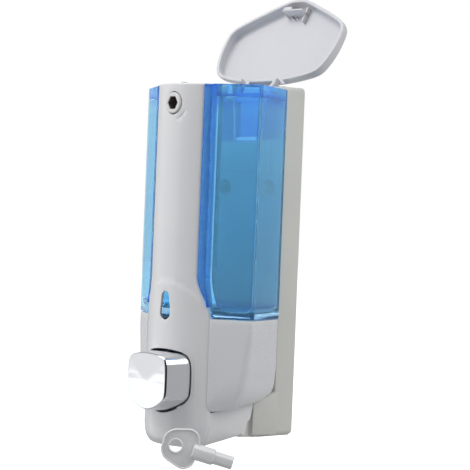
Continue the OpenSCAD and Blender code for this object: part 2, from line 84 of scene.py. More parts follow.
def ease(t):
    t = min(1.0, max(0.0, t))
    return t * t * (3 - 2 * t)


def between(table, at):  # straight lines through (place, value) pairs
    table = sorted(table)
    if at <= table[0][0]:
        return table[0][1]
    for (a, u), (b, v) in zip(table, table[1:]):
        if at <= b:
            return u + (v - u) * (at - a) / (b - a)
    return table[-1][1]


def flat(points):
    return [Vector((p[0], p[1])) for p in points]


def mirrored(half):  # a half outline on the +x side, closed by its mirror image
    return flat(half) + [Vector((-p[0], p[1])) for p in reversed(half) if abs(p[0]) > 1e-6]


def roundPath(points, radii, steps):  # each corner eased by steps + 1 points
    made = []
    for i, p in enumerate(points):
        r = radii[i] if hasattr(radii, "__len__") else radii
        a, b = points[i - 1] - p, points[(i + 1) % len(points)] - p
        la, lb = a.length, b.length
        a.normalize()
        b.normalize()
        halfAngle = max(0.05, a.angle(b, math.pi) / 2)
        cut = min(r / math.tan(halfAngle) if halfAngle < 1.55 else r * 0.3, la * 0.47, lb * 0.47)
        cut = max(cut, 0.02)
        for k in range(steps + 1):
            t = k / steps
            made.append(p + a * cut * (1 - t) ** 2 + b * cut * t**2)
    return made


def softened(points, rounds):  # corner cutting, for outlines given by a few points
    for _ in range(rounds):
        made = []
        for a, b in zip(points, points[1:] + points[:1]):
            made += [a * 0.75 + b * 0.25, a * 0.25 + b * 0.75]
        points = made
    return points


def insetPath(path, amount):  # moves a closed outline inwards
    n = len(path)
    area = sum(path[i - 1].x * path[i].y - path[i].x * path[i - 1].y for i in range(n))
    side = 1 if area > 0 else -1
    made = []
    for i, p in enumerate(path):
        a, b = p - path[i - 1], path[(i + 1) % n] - p
        if a.length < 1e-7:
            a = b
        if b.length < 1e-7:
            b = a
        a, b = a.normalized(), b.normalized()
        na, nb = Vector((-a.y, a.x)) * side, Vector((-b.y, b.x)) * side
        m = (na + nb).normalized()
        e = amount[i] if hasattr(amount, "__len__") else amount
        made.append(p + m * (e / max(0.4, m.dot(na))))
    return made


def inside(p, loop):
    found = False
    j = len(loop) - 1
    for i in range(len(loop)):
        a, b = loop[i], loop[j]
        if (a.y > p.y) != (b.y > p.y) and p.x < (b.x - a.x) * (p.y - a.y) / (b.y - a.y) + a.x:
            found = not found
        j = i
    return found


def ring(bm, points):
    return [bm.verts.new(p) for p in points]


def bridge(bm, a, b, closed=True, skip=None):
    n = len(a)
    for i in range(n if closed else n - 1):
        if skip and skip(i):
            continue
        j = (i + 1) % n
        bm.faces.new((a[i], a[j], b[j], b[i]))


def loft(bm, rows, closed=True):
    made = [ring(bm, row) for row in rows]
    for a, b in zip(made, made[1:]):
        bridge(bm, a, b, closed)
    return made


# loops[0] is the edge, the others are holes
def fillArea(bm, loops, place, spacing=None, lines=(), clear=0.7):
    points, edges = [], []
    for loop in loops:
        first = len(points)
        points += [Vector((p.x, p.y)) for p in loop]
        edges += [(first + i, first + (i + 1) % len(loop)) for i in range(len(loop))]
    for line in lines:
        line = [p for p in line if inside(p, loops[0]) and not any(inside(p, h) for h in loops[1:])]
        line = [p for p in line if min((p - q).length for q in points[: sum(map(len, loops))]) > 0.25]
        first = len(points)
        points += line
        edges += [(first + i, first + i + 1) for i in range(len(line) - 1)
                  if (line[i] - line[i + 1]).length < 2.5]
    if spacing:
        lowX, highX = min(p.x for p in loops[0]), max(p.x for p in loops[0])
        lowY, highY = min(p.y for p in loops[0]), max(p.y for p in loops[0])
        nx, ny = math.ceil((highX - lowX) / spacing[0]), math.ceil((highY - lowY) / spacing[1])
        fixed = list(points)
        for i in range(1, nx):
            for j in range(1, ny):
                p = Vector((lowX + (highX - lowX) * i / nx, lowY + (highY - lowY) * j / ny))
                if min((p - q).length_squared for q in fixed) < clear * clear:
                    continue
                if inside(p, loops[0]) and not any(inside(p, h) for h in loops[1:]):
                    points.append(p)
    co, _, faces, *_ = delaunay_2d_cdt(points, edges, [], 0, 1e-5)
    verts = [bm.verts.new(place(p.x, p.y)) for p in co]
    for f in faces:
        c = (co[f[0]] + co[f[1]] + co[f[2]]) / 3
        if inside(c, loops[0]) and not any(inside(c, h) for h in loops[1:]):
            bm.faces.new([verts[i] for i in f])
    return verts


def addBlock(bm, low, high, r=0.3, corners=3):  # a box in mm with rounded edges
    cx, cy = (low[0] + high[0]) / 2, (low[1] + high[1]) / 2
    w, d = (high[0] - low[0]) / 2, (high[1] - low[1]) / 2
    r = min(r, w * 0.9, d * 0.9, (high[2] - low[2]) * 0.45)
    plan = roundPath(flat([(-w, -d), (w, -d), (w, d), (-w, d)]), r, corners)
    rows = []
    for inset, h in ((r, low[2]), (r * 0.3, low[2] + r * 0.3), (0, low[2] + r),
                     (0, high[2] - r), (r * 0.3, high[2] - r * 0.3), (r, high[2])):
        rows.append([spot(cx + p.x * (w - inset) / w, cy + p.y * (d - inset) / d, h) for p in plan])
    made = loft(bm, rows)
    bm.faces.new(made[0])
    bm.faces.new(made[-1])


# a prism over an outline, with the height of its top given by depth
def addPrism(bm, plan, low, top, r=0.4):
    path = roundPath(flat(plan), r, 3)
    rows = [[spot(p.x, p.y, low + up) for p in insetPath(path, inset)]
            for inset, up in ((r, 0), (r * 0.3, r * 0.3), (0, r))]
    rows += [[spot(p.x, p.y, top(p.y) - down) for p in insetPath(path, inset)]
             for inset, down in ((0, r), (r * 0.3, r * 0.3), (r, 0))]
    made = loft(bm, rows)
    bm.faces.new(made[0])
    bm.faces.new(made[-1])


def circle(cx, cy, r, n, start=0.0):
    return [Vector((cx + r * math.cos(start + 2 * math.pi * i / n),
                    cy + r * math.sin(start + 2 * math.pi * i / n)))
            for i in range(n)]


def settle(obj):  # modifiers become plain mesh
    bpy.context.view_layer.update()
    graph = bpy.context.evaluated_depsgraph_get()
    mesh = bpy.data.meshes.new_from_object(obj.evaluated_get(graph), preserve_all_data_layers=True,
                                           depsgraph=graph)
    old = obj.data
    obj.modifiers.clear()
    obj.data = mesh
    if old.users == 0:
        bpy.data.meshes.remove(old)
    return obj


def newObject(name, bm, merge=0.02, outward=True):
    bmesh.ops.remove_doubles(bm, verts=bm.verts, dist=merge * mm)
    bmesh.ops.dissolve_degenerate(bm, edges=bm.edges, dist=merge * mm * 0.5)
    if outward:
        bmesh.ops.recalc_face_normals(bm, faces=bm.faces)
    mesh = bpy.data.meshes.new(name)
    bm.to_mesh(mesh)
    bm.free()
    obj = bpy.data.objects.new(name, mesh)
    bpy.context.scene.collection.objects.link(obj)
    return obj


def dress(obj, material, body, nodes=(), sharp=34):
    obj.data.materials.clear()
    obj.data.materials.append(material)
    obj.data.shade_smooth()
    obj.data.set_sharp_from_angle(angle=math.radians(sharp))
    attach(obj, body)
    if nodes:
        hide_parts(*nodes)
    print("made", obj.name, len(obj.data.polygons), "faces")
    return obj


def joinMeshes(target, *others):  # plain joining of meshes that overlap out of sight
    bm = bmesh.new()
    bm.from_mesh(target.data)
    for o in others:
        bm.from_mesh(o.data)
        bpy.data.objects.remove(o)
    bm.to_mesh(target.data)
    bm.free()
    return target


def refined(node, name, bevel, segments=3, angle=30):  # a merged copy of a CAD node with its edges rounded
    bm = bmesh.new()
    bm.from_mesh(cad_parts[node].data)
    bmesh.ops.remove_doubles(bm, verts=bm.verts, dist=0.01 * mm)
    bmesh.ops.dissolve_limit(bm, angle_limit=math.radians(1.5), verts=bm.verts, edges=bm.edges)
    obj = newObject(name, bm, 0.01)
    step = obj.modifiers.new("edges", "BEVEL")
    step.width = bevel * mm
    step.segments = segments
    step.limit_method = "ANGLE"
    step.angle_limit = math.radians(angle)
    step.use_clamp_overlap = True
    step.miter_outer = "MITER_ARC"
    return settle(obj)


# surface effects shared by the materials

def groupTree(name, inputs, outputs):
    tree = bpy.data.node_groups.new(name, "ShaderNodeTree")
    for label, kind, value in inputs:
        s = tree.interface.new_socket(name=label, in_out="INPUT", socket_type=kind)
        s.default_value = value
    for label, kind in outputs:
        tree.interface.new_socket(name=label, in_out="OUTPUT", socket_type=kind)
    return tree, tree.nodes.new("NodeGroupInput"), tree.nodes.new("NodeGroupOutput")


def node(tree, kind, links=(), **values):
    n = tree.nodes.new(kind)
    for k, v in values.items():
        if k.startswith("in_"):
            n.inputs[k[3:].replace("_", " ")].default_value = v
        else:
            setattr(n, k, v)
    for source, socket in links:
        tree.links.new(source, n.inputs[socket])
    return n


def mathNode(tree, operation, a, b=None, clamp=False):
    n = tree.nodes.new("ShaderNodeMath")
    n.operation = operation
    n.use_clamp = clamp
    for i, v in enumerate((a, b)):
        if v is None:
            continue
        if isinstance(v, (int, float)):
            n.inputs[i].default_value = v
        else:
            tree.links.new(v, n.inputs[i])
    return n.outputs[0]


def makeMouldGrain():  # fine texture of a moulding, with slow waves where the wall has shrunk
    tree, start, end = groupTree("mouldGrain",
                                 [("Grain Size", "NodeSocketFloat", 1400.0),
                                  ("Wave Size", "NodeSocketFloat", 60.0),
                                  ("Wave Share", "NodeSocketFloat", 0.5)],
                                 [("Height", "NodeSocketFloat"), ("Speckle", "NodeSocketFloat")])
    place = node(tree, "ShaderNodeTexCoord").outputs["Object"]
    fine = node(tree, "ShaderNodeTexNoise", [(place, "Vector"), (start.outputs["Grain Size"], "Scale")],
                in_Detail=2.0, in_Roughness=0.6)
    wave = node(tree, "ShaderNodeTexNoise", [(place, "Vector"), (start.outputs["Wave Size"], "Scale")],
                in_Detail=1.0, in_Roughness=0.4)
    share = mathNode(tree, "MULTIPLY", wave.outputs[0], start.outputs["Wave Share"])
    tree.links.new(mathNode(tree, "ADD", fine.outputs[0], share), end.inputs["Height"])
    tree.links.new(fine.outputs[0], end.inputs["Speckle"])
    return tree


def makeSoftStain():  # slow change of tone over a part
    tree, start, end = groupTree("softStain",
                                 [("Size", "NodeSocketFloat", 18.0), ("Low", "NodeSocketFloat", 0.4),
                                  ("High", "NodeSocketFloat", 0.62)],
                                 [("Mask", "NodeSocketFloat")])
    place = node(tree, "ShaderNodeTexCoord").outputs["Object"]
    cloud = node(tree, "ShaderNodeTexNoise", [(place, "Vector"), (start.outputs["Size"], "Scale")],
                 in_Detail=4.0, in_Roughness=0.55, in_Distortion=0.3)
    fit = node(tree, "ShaderNodeMapRange", [(cloud.outputs[0], "Value"), (start.outputs["Low"], "From Min"),
                                            (start.outputs["High"], "From Max")])
    tree.links.new(fit.outputs[0], end.inputs["Mask"])
    return tree


def makeEdgeWearAndPaintedLight():  # rubbed edges and corners: convex edges for wear roughness and a painted highlight, hollows for painted shade
    tree, start, end = groupTree("edgeWearAndPaintedLight",
                                 [("Reach", "NodeSocketFloat", 0.06), ("Breakup", "NodeSocketFloat", 220.0)],
                                 [("Mask", "NodeSocketFloat"), ("Hollow", "NodeSocketFloat")])
    place = node(tree, "ShaderNodeTexCoord").outputs["Object"]
    shape = node(tree, "ShaderNodeNewGeometry").outputs["Pointiness"]
    rough = node(tree, "ShaderNodeTexNoise", [(place, "Vector"), (start.outputs["Breakup"], "Scale")],
                 in_Detail=3.0)
    high = mathNode(tree, "ADD", start.outputs["Reach"], 0.5)
    out = node(tree, "ShaderNodeMapRange", [(shape, "Value"), (high, "From Max")])
    out.inputs["From Min"].default_value = 0.505
    tree.links.new(mathNode(tree, "MULTIPLY", out.outputs[0], rough.outputs[0], True), end.inputs["Mask"])
    low = mathNode(tree, "SUBTRACT", 0.5, start.outputs["Reach"])
    inn = node(tree, "ShaderNodeMapRange", [(shape, "Value"), (low, "From Min")])
    inn.inputs["From Max"].default_value = 0.495
    inn.inputs["To Min"].default_value = 1.0
    inn.inputs["To Max"].default_value = 0.0
    tree.links.new(inn.outputs[0], end.inputs["Hollow"])
    return tree


mouldGrain, softStain, edgeWearAndPaintedLight = makeMouldGrain(), makeSoftStain(), makeEdgeWearAndPaintedLight()


def useGroup(tree, group, **values):
    n = tree.nodes.new("ShaderNodeGroup")
    n.node_tree = group
    for k, v in values.items():
        n.inputs[k].default_value = v
    return n


def startMaterial(name):
    m = bpy.data.materials.new(name)
    m.use_nodes = True
    return m, m.node_tree, m.node_tree.nodes["Principled BSDF"]


def mixColour(tree, mask, first, second):
    n = tree.nodes.new("ShaderNodeMix")
    n.data_type = "RGBA"
    if isinstance(mask, (int, float)):
        n.inputs[0].default_value = mask
    else:
        tree.links.new(mask, n.inputs[0])
    for i, c in ((6, first), (7, second)):
        if isinstance(c, tuple):
            n.inputs[i].default_value = (*c, 1.0)
        else:
            tree.links.new(c, n.inputs[i])
    return n.outputs[2]


def plastic(name, colour, tone, wornEdgeHighlight, rough=(0.22, 0.32), grain=1400.0, depth=0.00002, coat=0.0,
            stainSize=14.0,
            ior=1.48, subsurface=0.0, waves=0.5):
    m, tree, shader = startMaterial(name)
    stain = useGroup(tree, softStain, Size=stainSize)
    mould = useGroup(tree, mouldGrain, **{"Grain Size": grain, "Wave Share": waves})
    edge = useGroup(tree, edgeWearAndPaintedLight)
    toned = mixColour(tree, stain.outputs["Mask"], colour, tone)
    # convex edges painted lighter: a painted highlight on the rubbed edges, which are also made rougher
    # below; hollows painted darker: painted shade in the creases
    edgeHighlighted = mixColour(tree, mathNode(tree, "MULTIPLY", edge.outputs["Mask"], 0.5), toned, wornEdgeHighlight)
    paintedCreaseShade = tuple(c * 0.82 for c in tone)
    tree.links.new(mixColour(tree, mathNode(tree, "MULTIPLY", edge.outputs["Hollow"], 0.35), edgeHighlighted, paintedCreaseShade),
                   shader.inputs["Base Color"])
    spread = node(tree, "ShaderNodeMapRange", [(mould.outputs["Speckle"], "Value")])
    spread.inputs["From Min"].default_value = 0.3
    spread.inputs["From Max"].default_value = 0.7
    spread.inputs["To Min"].default_value = rough[0]
    spread.inputs["To Max"].default_value = rough[1]
    tree.links.new(mathNode(tree, "ADD", spread.outputs[0],
                            mathNode(tree, "MULTIPLY", edge.outputs["Mask"], 0.1)),
                   shader.inputs["Roughness"])
    bump = node(tree, "ShaderNodeBump", [(mould.outputs["Height"], "Height")], in_Distance=depth,
                in_Strength=0.35)
    tree.links.new(bump.outputs[0], shader.inputs["Normal"])
    shader.inputs["IOR"].default_value = ior
    shader.inputs["Coat Weight"].default_value = coat
    shader.inputs["Coat Roughness"].default_value = 0.06
    if subsurface:
        shader.inputs["Subsurface Weight"].default_value = subsurface
        shader.inputs["Subsurface Radius"].default_value = (0.004, 0.004, 0.004)
    return m


def paintedSocketShade(material, height, reach, depth, colour):  # painted shade deep inside a hole round an axis towards the front
    tree = material.node_tree
    shader = tree.nodes["Principled BSDF"]
    before = shader.inputs["Base Color"].links[0].from_socket
    place = node(tree, "ShaderNodeTexCoord").outputs["Object"]
    parts = node(tree, "ShaderNodeSeparateXYZ", [(place, "Vector")])
    up = mathNode(tree, "SUBTRACT", parts.outputs[2], height)
    away = mathNode(tree, "SQRT",
                    mathNode(tree, "ADD", mathNode(tree, "MULTIPLY", parts.outputs[0], parts.outputs[0]),
                                           mathNode(tree, "MULTIPLY", up, up)))
    near = node(tree, "ShaderNodeMapRange", [(away, "Value")])
    near.inputs["From Min"].default_value = reach
    near.inputs["From Max"].default_value = reach * 0.97
    below = node(tree, "ShaderNodeMapRange", [(parts.outputs[1], "Value")])
    below.inputs["From Min"].default_value = -depth
    below.inputs["From Max"].default_value = -depth + 0.0004
    mask = mathNode(tree, "MULTIPLY", near.outputs[0], below.outputs[0])
    tree.links.new(mixColour(tree, mask, before, colour), shader.inputs["Base Color"])


def metal(name, colour, tone, rough=(0.03, 0.07), grain=900.0, depth=0.000004, scratches=0.0):
    m, tree, shader = startMaterial(name)
    stain = useGroup(tree, softStain, Size=40.0)
    mould = useGroup(tree, mouldGrain, **{"Grain Size": grain, "Wave Share": 0.8})
    edge = useGroup(tree, edgeWearAndPaintedLight, Breakup=400.0)
    toned = mixColour(tree, stain.outputs["Mask"], colour, tone)
    # hollows painted darker: painted shade in the creases
    tree.links.new(mixColour(tree, mathNode(tree, "MULTIPLY", edge.outputs["Hollow"], 0.3), toned,
                             tuple(c * 0.6 for c in tone)), shader.inputs["Base Color"])
    place = node(tree, "ShaderNodeTexCoord").outputs["Object"]
    turned = node(tree, "ShaderNodeMapping", [(place, "Vector")])
    turned.inputs["Scale"].default_value = (1.0, 1.0, 14.0)
    lines = node(tree, "ShaderNodeTexNoise", [(turned.outputs[0], "Vector")], in_Scale=180.0, in_Detail=3.0)
    spread = node(tree, "ShaderNodeMapRange", [(stain.outputs["Mask"], "Value")])
    spread.inputs["To Min"].default_value = rough[0]
    spread.inputs["To Max"].default_value = rough[1]
    marks = mathNode(tree, "MULTIPLY", lines.outputs[0], scratches)
    tree.links.new(mathNode(tree, "ADD", spread.outputs[0], marks), shader.inputs["Roughness"])
    bump = node(tree, "ShaderNodeBump", [(mould.outputs["Height"], "Height")], in_Distance=depth,
                in_Strength=0.3)
    tree.links.new(bump.outputs[0], shader.inputs["Normal"])
    shader.inputs["Metallic"].default_value = 1.0
    return m


def clearPlastic(name, colour, tone, deep, rough=(0.02, 0.06), ior=1.35, weight=1.0):
    m, tree, shader = startMaterial(name)
    stain = useGroup(tree, softStain, Size=22.0)
    mould = useGroup(tree, mouldGrain, **{"Grain Size": 500.0, "Wave Size": 45.0, "Wave Share": 2.0})
    edge = useGroup(tree, edgeWearAndPaintedLight, Breakup=300.0)
    # deep is the colour of a painted shade at edges and hollows: a deeper blue standing in for the longer
    # path of light through the plastic there
    edges = mathNode(tree, "MULTIPLY", mathNode(tree, "ADD", edge.outputs["Mask"], edge.outputs["Hollow"]),
                     2.2, True)
    toned = mixColour(tree, stain.outputs["Mask"], colour, tone)
    tree.links.new(mixColour(tree, edges, toned, deep), shader.inputs["Base Color"])
    spread = node(tree, "ShaderNodeMapRange", [(mould.outputs["Speckle"], "Value")])
    spread.inputs["To Min"].default_value = rough[0]
    spread.inputs["To Max"].default_value = rough[1]
    tree.links.new(mathNode(tree, "ADD", spread.outputs[0],
                            mathNode(tree, "MULTIPLY", edge.outputs["Mask"], 0.12)),
                   shader.inputs["Roughness"])
    bump = node(tree, "ShaderNodeBump", [(mould.outputs["Height"], "Height")], in_Distance=0.00001,
                in_Strength=0.15)
    tree.links.new(bump.outputs[0], shader.inputs["Normal"])
    shader.inputs["IOR"].default_value = ior
    shader.inputs["Transmission Weight"].default_value = weight
    return m


# the third colour of each plastic is its painted edge highlight; containerBlue's third colour is the painted
# deeper-blue shade at its edges and hollows
finish = {
    "coverWhite": plastic("coverWhite", (0.80, 0.80, 0.815), (0.775, 0.775, 0.80), (0.85, 0.85, 0.86),
                          rough=(0.16, 0.24), coat=0.25),
    "housingWhite": plastic("housingWhite", (0.77, 0.775, 0.80), (0.745, 0.75, 0.78), (0.83, 0.83, 0.85),
                            rough=(0.2, 0.3), coat=0.1),
    "lidWhite": plastic("lidWhite", (0.68, 0.675, 0.70), (0.66, 0.655, 0.685), (0.76, 0.76, 0.78),
                        rough=(0.26, 0.34)),
    "bracketWhite": plastic("bracketWhite", (0.69, 0.69, 0.65), (0.655, 0.655, 0.615), (0.74, 0.74, 0.70),
                            rough=(0.42, 0.55), grain=1100.0, depth=0.00005),
    "lockWhite": plastic("lockWhite", (0.80, 0.79, 0.78), (0.76, 0.75, 0.74), (0.86, 0.85, 0.84),
                         rough=(0.25, 0.35)),
    "pumpWhite": plastic("pumpWhite", (0.78, 0.79, 0.80), (0.72, 0.74, 0.76), (0.84, 0.84, 0.85),
                         rough=(0.3, 0.42),
                         subsurface=0.15),
    "rubberBlack": plastic("rubberBlack", (0.025, 0.025, 0.027), (0.04, 0.04, 0.042), (0.09, 0.09, 0.09),
                           rough=(0.55, 0.7), grain=2200.0, depth=0.00006),
    "silicone": plastic("silicone", (0.70, 0.72, 0.72), (0.62, 0.64, 0.64), (0.78, 0.79, 0.79),
                        rough=(0.35, 0.5),
                        subsurface=0.4),
    "chrome": metal("chrome", (0.84, 0.85, 0.87), (0.81, 0.82, 0.85), rough=(0.07, 0.1)),
    "zincSteel": metal("zincSteel", (0.62, 0.63, 0.65), (0.54, 0.54, 0.53), rough=(0.2, 0.34), scratches=0.18,
                       depth=0.00002),
    "containerBlue": clearPlastic("containerBlue", (0.47, 0.82, 0.99), (0.45, 0.81, 0.985),
                                  (0.14, 0.34, 0.88),
                                  ior=1.2, weight=0.86),
    "keyClear": plastic("keyClear", (0.84, 0.84, 0.85), (0.81, 0.81, 0.82), (0.92, 0.92, 0.93),
                        rough=(0.22, 0.34),
                        subsurface=0.5, coat=0.1),
}
# painted shade inside the lock's hex socket
paintedSocketShade(finish["lockWhite"], baseZ + lockH * mm, 4.2 * mm, 74.0 * mm, (0.10, 0.085, 0.075))
print("materials ready")


# front cover: column, flare and mask in one crowned sheet

coverSize = {"columnHalf": 18.15, "maskHalf": 25.2, "flareTop": 95.0, "flareLow": 70.0, "crownRadius": 34.4,
             "crownCentre": 39.6, "height": 200.0, "wall": 1.7, "lockHole": 6.3, "buttonGap": 2.0,
             "footCorner": (10.2, 14.0), "bottomRound": 8.0, "archHigh": 91.0, "archDrop": 6.5,
             "archStep": 0.35}

buttonHalf = [(0, -16.4), (4.5, -15.8), (9, -14), (13, -11.4), (15.2, -9), (16, -6), (16, 5), (15.6, 9.5),
              (14.6, 12.2), (12, 13.8), (6, 14.7), (0, 15)]


def buttonPath(grow):
    return insetPath(softened(mirrored(buttonHalf), 2), -grow)


def flareHalf(h):
    c = coverSize
    share = ease((c["flareTop"] - h) / (c["flareTop"] - c["flareLow"]))
    return c["columnHalf"] + (c["maskHalf"] - c["columnHalf"]) * share


def crownDepth(x):
    c = coverSize
    return c["crownCentre"] + math.sqrt(max(1.0, c["crownRadius"] ** 2 - x * x))


# right half, from the bottom centre up to the side's top
def sectionPoints(halfWidth, low, high, rx, ry, notch):
    xEnd = halfWidth - rx
    made = [Vector((notch * k / 4, low)) for k in range(5)]
    made += [Vector((notch + (xEnd - notch) * k / 5, low)) for k in range(1, 6)]
    for k in range(1, 13):
        a = -math.pi / 2 + math.pi / 2 * k / 12
        made.append(Vector((xEnd + rx * math.cos(a), low + ry + ry * math.sin(a))))
    made += [Vector((halfWidth, low + ry + (high - low - ry) * k / 3)) for k in range(1, 4)]
    return made


def makeCover():
    c = coverSize
    foot = sectionPoints(c["maskHalf"], 0, 20.0, *c["footCorner"], 7.4)
    half = list(foot)
    half += [Vector((c["maskHalf"], h)) for h in (22, 26, 32, 38, 44, 50, 56, 62, 66)]
    half += [Vector((flareHalf(h), h)) for h in [70 + 25 * i / 18 for i in range(19)]]
    half += [Vector((c["columnHalf"], 98 + 4 * i)) for i in range(26)]
    half[-1].y = 198.6
    half += [Vector((c["columnHalf"] - 0.15, 199.4)), Vector((c["columnHalf"] - 0.6, 199.85))]
    half += [Vector((x, c["height"])) for x in (17.0, 15, 13, 11, 9, 7, 5, 3, 1.5, 0)]
    loop = half + [Vector((-p.x, p.y)) for p in reversed(half[1:-1])]

    def roundingAt(p):
        if p.y > 199.3:
            return 0.8
        if p.y > 95:
            return 1.5
        if p.y > 20:
            return between([(20, 1.0), (24, 0.7), (60, 0.7), (70, 1.1), (95, 1.5)], p.y)
        if p.y >= 14:
            return between([(14, 2.2), (20, 1.0)], p.y)
        return between([(0, c["bottomRound"]), (4, 6.4), (14, 2.2)], p.y)

    rounding = [roundingAt(p) for p in loop]
    bm = bmesh.new()
    rings, steps = [], 6
    for k in range(steps + 1):
        a = math.pi / 2 * k / steps
        path = insetPath(loop, [r * (1 - math.cos(a)) for r in rounding])
        rings.append([(p, r * (1 - math.sin(a))) for p, r in zip(path, rounding)])

    def arch(x):
        return c["archHigh"] - c["archDrop"] * (x / 18.0) ** 2

    def markAt(x, h):  # shallow arc below the lock
        u, v = x, h - lockH
        r, a = math.hypot(u, v), math.degrees(math.atan2(v, u))
        return max(0.0, 1 - abs(r - 9.6) / 0.5) * ease((a + 80) / 18) * ease((-18 - a) / 18)

    def surface(x, h):
        lift = c["archStep"] * ease((arch(x) - h) / 0.9 + 0.5)
        return crownDepth(x) - c["archStep"] + lift - 0.3 * markAt(x, h)

    placed = [[spot(p.x, surface(p.x, p.y) - drop, p.y) for p, drop in r] for r in rings]
    made = loft(bm, placed)
    window = []
    for k in range(17):
        a = -math.pi + math.pi * k / 16 - 0.06 + 0.12 * k / 16
        window.append(Vector((4 * math.cos(a), 73.9 + 4 * math.sin(a))))
    for k in range(13):
        a = 0.06 + (math.pi - 0.12) * k / 12
        window.append(Vector((2.9 * math.cos(a), 82.7 + 2.9 * math.sin(a))))
    lockHole = circle(0, lockH, c["lockHole"], 48)
    buttonHole = [p + Vector((0, pumpH)) for p in buttonPath(c["buttonGap"])]
    holes = [window, lockHole, buttonHole]
    lines = [[Vector((x * 0.5, arch(x * 0.5) + s * 0.45)) for x in range(-44, 45)] for s in (-1, 1)]
    lines += [[Vector((r * math.cos(math.radians(a)), lockH + r * math.sin(math.radians(a))))
               for a in range(-78, -15, 4)]
              for r in (9.1, 9.6, 10.1)]
    edges = []  # holes get a small rounded lip
    for hole in holes:
        lip = 0.35
        wide = insetPath(hole, -lip)
        rows = []
        for k in range(4):
            a = math.pi / 2 * k / 3
            path = insetPath(hole, -lip * (1 - math.cos(a)))
            rows.append([spot(p.x, surface(p.x, p.y) - lip * (1 - math.sin(a)), p.y) for p in path])
        loft(bm, rows)
        edges.append(wide)
    fillArea(bm, [[p for p, _ in rings[-1]]] + edges, lambda x, h: spot(x, surface(x, h), h), (1.7, 3.0),
             lines, 0.8)
    # flange along the sides, and the open top of the column with the latch slot
    n = len(loop)
    edgeRow = made[0]
    back = []
    for p in loop:
        back.append(bm.verts.new(spot(p.x, 60.0 if p.y <= 20.01 else 61.0, p.y)))
    last = len(foot) - 1
    for i in range(n):
        j = (i + 1) % n
        if min(loop[i].y, loop[j].y) >= c["height"] - 0.01:
            continue
        bm.faces.new((edgeRow[i], edgeRow[j], back[j], back[i]))
    ends = [i for i in range(n) if loop[i].y >= c["height"] - 0.01]
    ends.sort(key=lambda i: -loop[i].x)
    front = [Vector((loop[i].x, -edgeRow[i].co.y / mm)) for i in ends]
    plate = front + [Vector((x, 61.0)) for x in (-17, -12, -6, 0, 6, 12, 17)]
    slotHole = roundPath(flat([(-8.9, 62.5), (12.6, 62.5), (12.6, 66.9), (-8.9, 66.9)]), 0.4, 2)
    fillArea(bm, [plate, slotHole], lambda x, d: spot(x, d, c["height"]))
    # lower body below the housing, back to the bracket's foot
    lowerRows = [(60.0, 7.4), (56.0, 3.0), (52.9, 0.02), (52.2, 3.2), (51.0, 4.9), (49.0, 6.5), (47.0, 7.25),
                 (45.5, 7.4), (42.0, 7.4), (38.0, 7.4)]
    rows = []
    for d, notch in lowerRows:
        t = (60 - d) / 22
        low = between([(38, 6.7), (57, 1.0), (66, 0.2)], d) if d < 60 else 0.0
        high = between([(38, 24.0), (48, 22.4), (60, 20.0)], d)
        wide = c["maskHalf"] + (27 - c["maskHalf"]) * t
        rx, ry = 10.2 + (2.4 - 10.2) * t, 14 + (2.6 - 14) * ease(t)
        right = sectionPoints(wide, low, high, rx, ry, notch)
        rows.append([(Vector((-p.x, p.y)), d) for p in reversed(right[1:])] + [(p, d) for p in right])
    middle = last
    lowerRings = []
    for k, row in enumerate(rows):
        lowerRings.append([back[(i - middle) % n] if k == 0 else bm.verts.new(spot(p.x, d, p.y))
                           for i, (p, d) in enumerate(row)])
    for k, (a, b) in enumerate(zip(lowerRings, lowerRings[1:])):
        opened = rows[k][0][1] <= 52.95
        bridge(bm, a, b, False, lambda i: opened and middle - 4 <= i < middle + 4)
    sideFrom = 9 + 9
    for mirrorSide in (1, -1):
        picked = [middle + mirrorSide * k for k in range(sideFrom, last + 1)]
        before = [lowerRings[-1][i] for i in picked]
        for d, low, high in ((36.4, 7.3, 24.2), (34.8, 7.5, 24.4), (33.3, 14.6, 24.7), (31.2, 15.6, 25.1),
                             (29.4, 22.8, 25.5)):
            now = []
            for q, i in enumerate(picked):
                share = q / (len(picked) - 1)
                now.append(bm.verts.new(spot(27 * mirrorSide, d, low + (high - low) * share)))
            bridge(bm, before, now, False)
            before = now
    obj = newObject("front_cover_shell", bm, 0.03)
    if sum(p.normal.y * p.area for p in obj.data.polygons if p.center.y < -0.068) > 0:
        obj.data.flip_normals()
    thick = obj.modifiers.new("wall", "SOLIDIFY")
    thick.thickness = c["wall"] * mm
    thick.offset = -1
    thick.use_even_offset = False
    settle(obj)
    # lug for the lid's nose, guide for the lock and bosses for the screws
    bm = bmesh.new()
    addBlock(bm, (1.0, 67.8, 198.6), (4.6, 69.8, 201.2), 0.35)
    rows = [[spot(p.x, d, p.y) for p in circle(0, lockH, r, 48)]
            for r, d in ((8.0, 72.0), (8.0, 67.1), (7.9, 67.0), (6.1, 67.0), (5.95, 67.2), (5.95, 73.0))]
    loft(bm, rows)
    for x in (-20.8, 20.8):
        for h in (30, 61):
            rows = [[spot(p.x, d, p.y) for p in circle(x, h, r, 24)]
                    for r, d in ((3.0, 62.0), (3.0, 57.0), (2.8, 56.8), (1.4, 56.8), (1.3, 57.2),
                                 (1.3, 61.8))]
            made = loft(bm, rows)
            bm.faces.new(made[-1])
    extra = newObject("cover_extra", bm)
    joinMeshes(obj, extra)
    return dress(obj, finish["coverWhite"], "unit", ["front_cover"])


makeCover()


# container: a lofted shell with a rebate inside its rim, strips beside the column, the wedge and the ears

containerSize = {"low": 71.9, "wall": 2.2, "floor": 3.0, "ridgeHalf": 21.4, "ridgeDepth": 66.0,
                 "crease": (46.4, 51.1), "rear": (32.2, 16.2), "channel": 60.0, "rebateWall": 1.5,
                 "floorFillet": 5.5, "neck": 8.0, "neckBore": 5.3, "neckLow": 63.5}


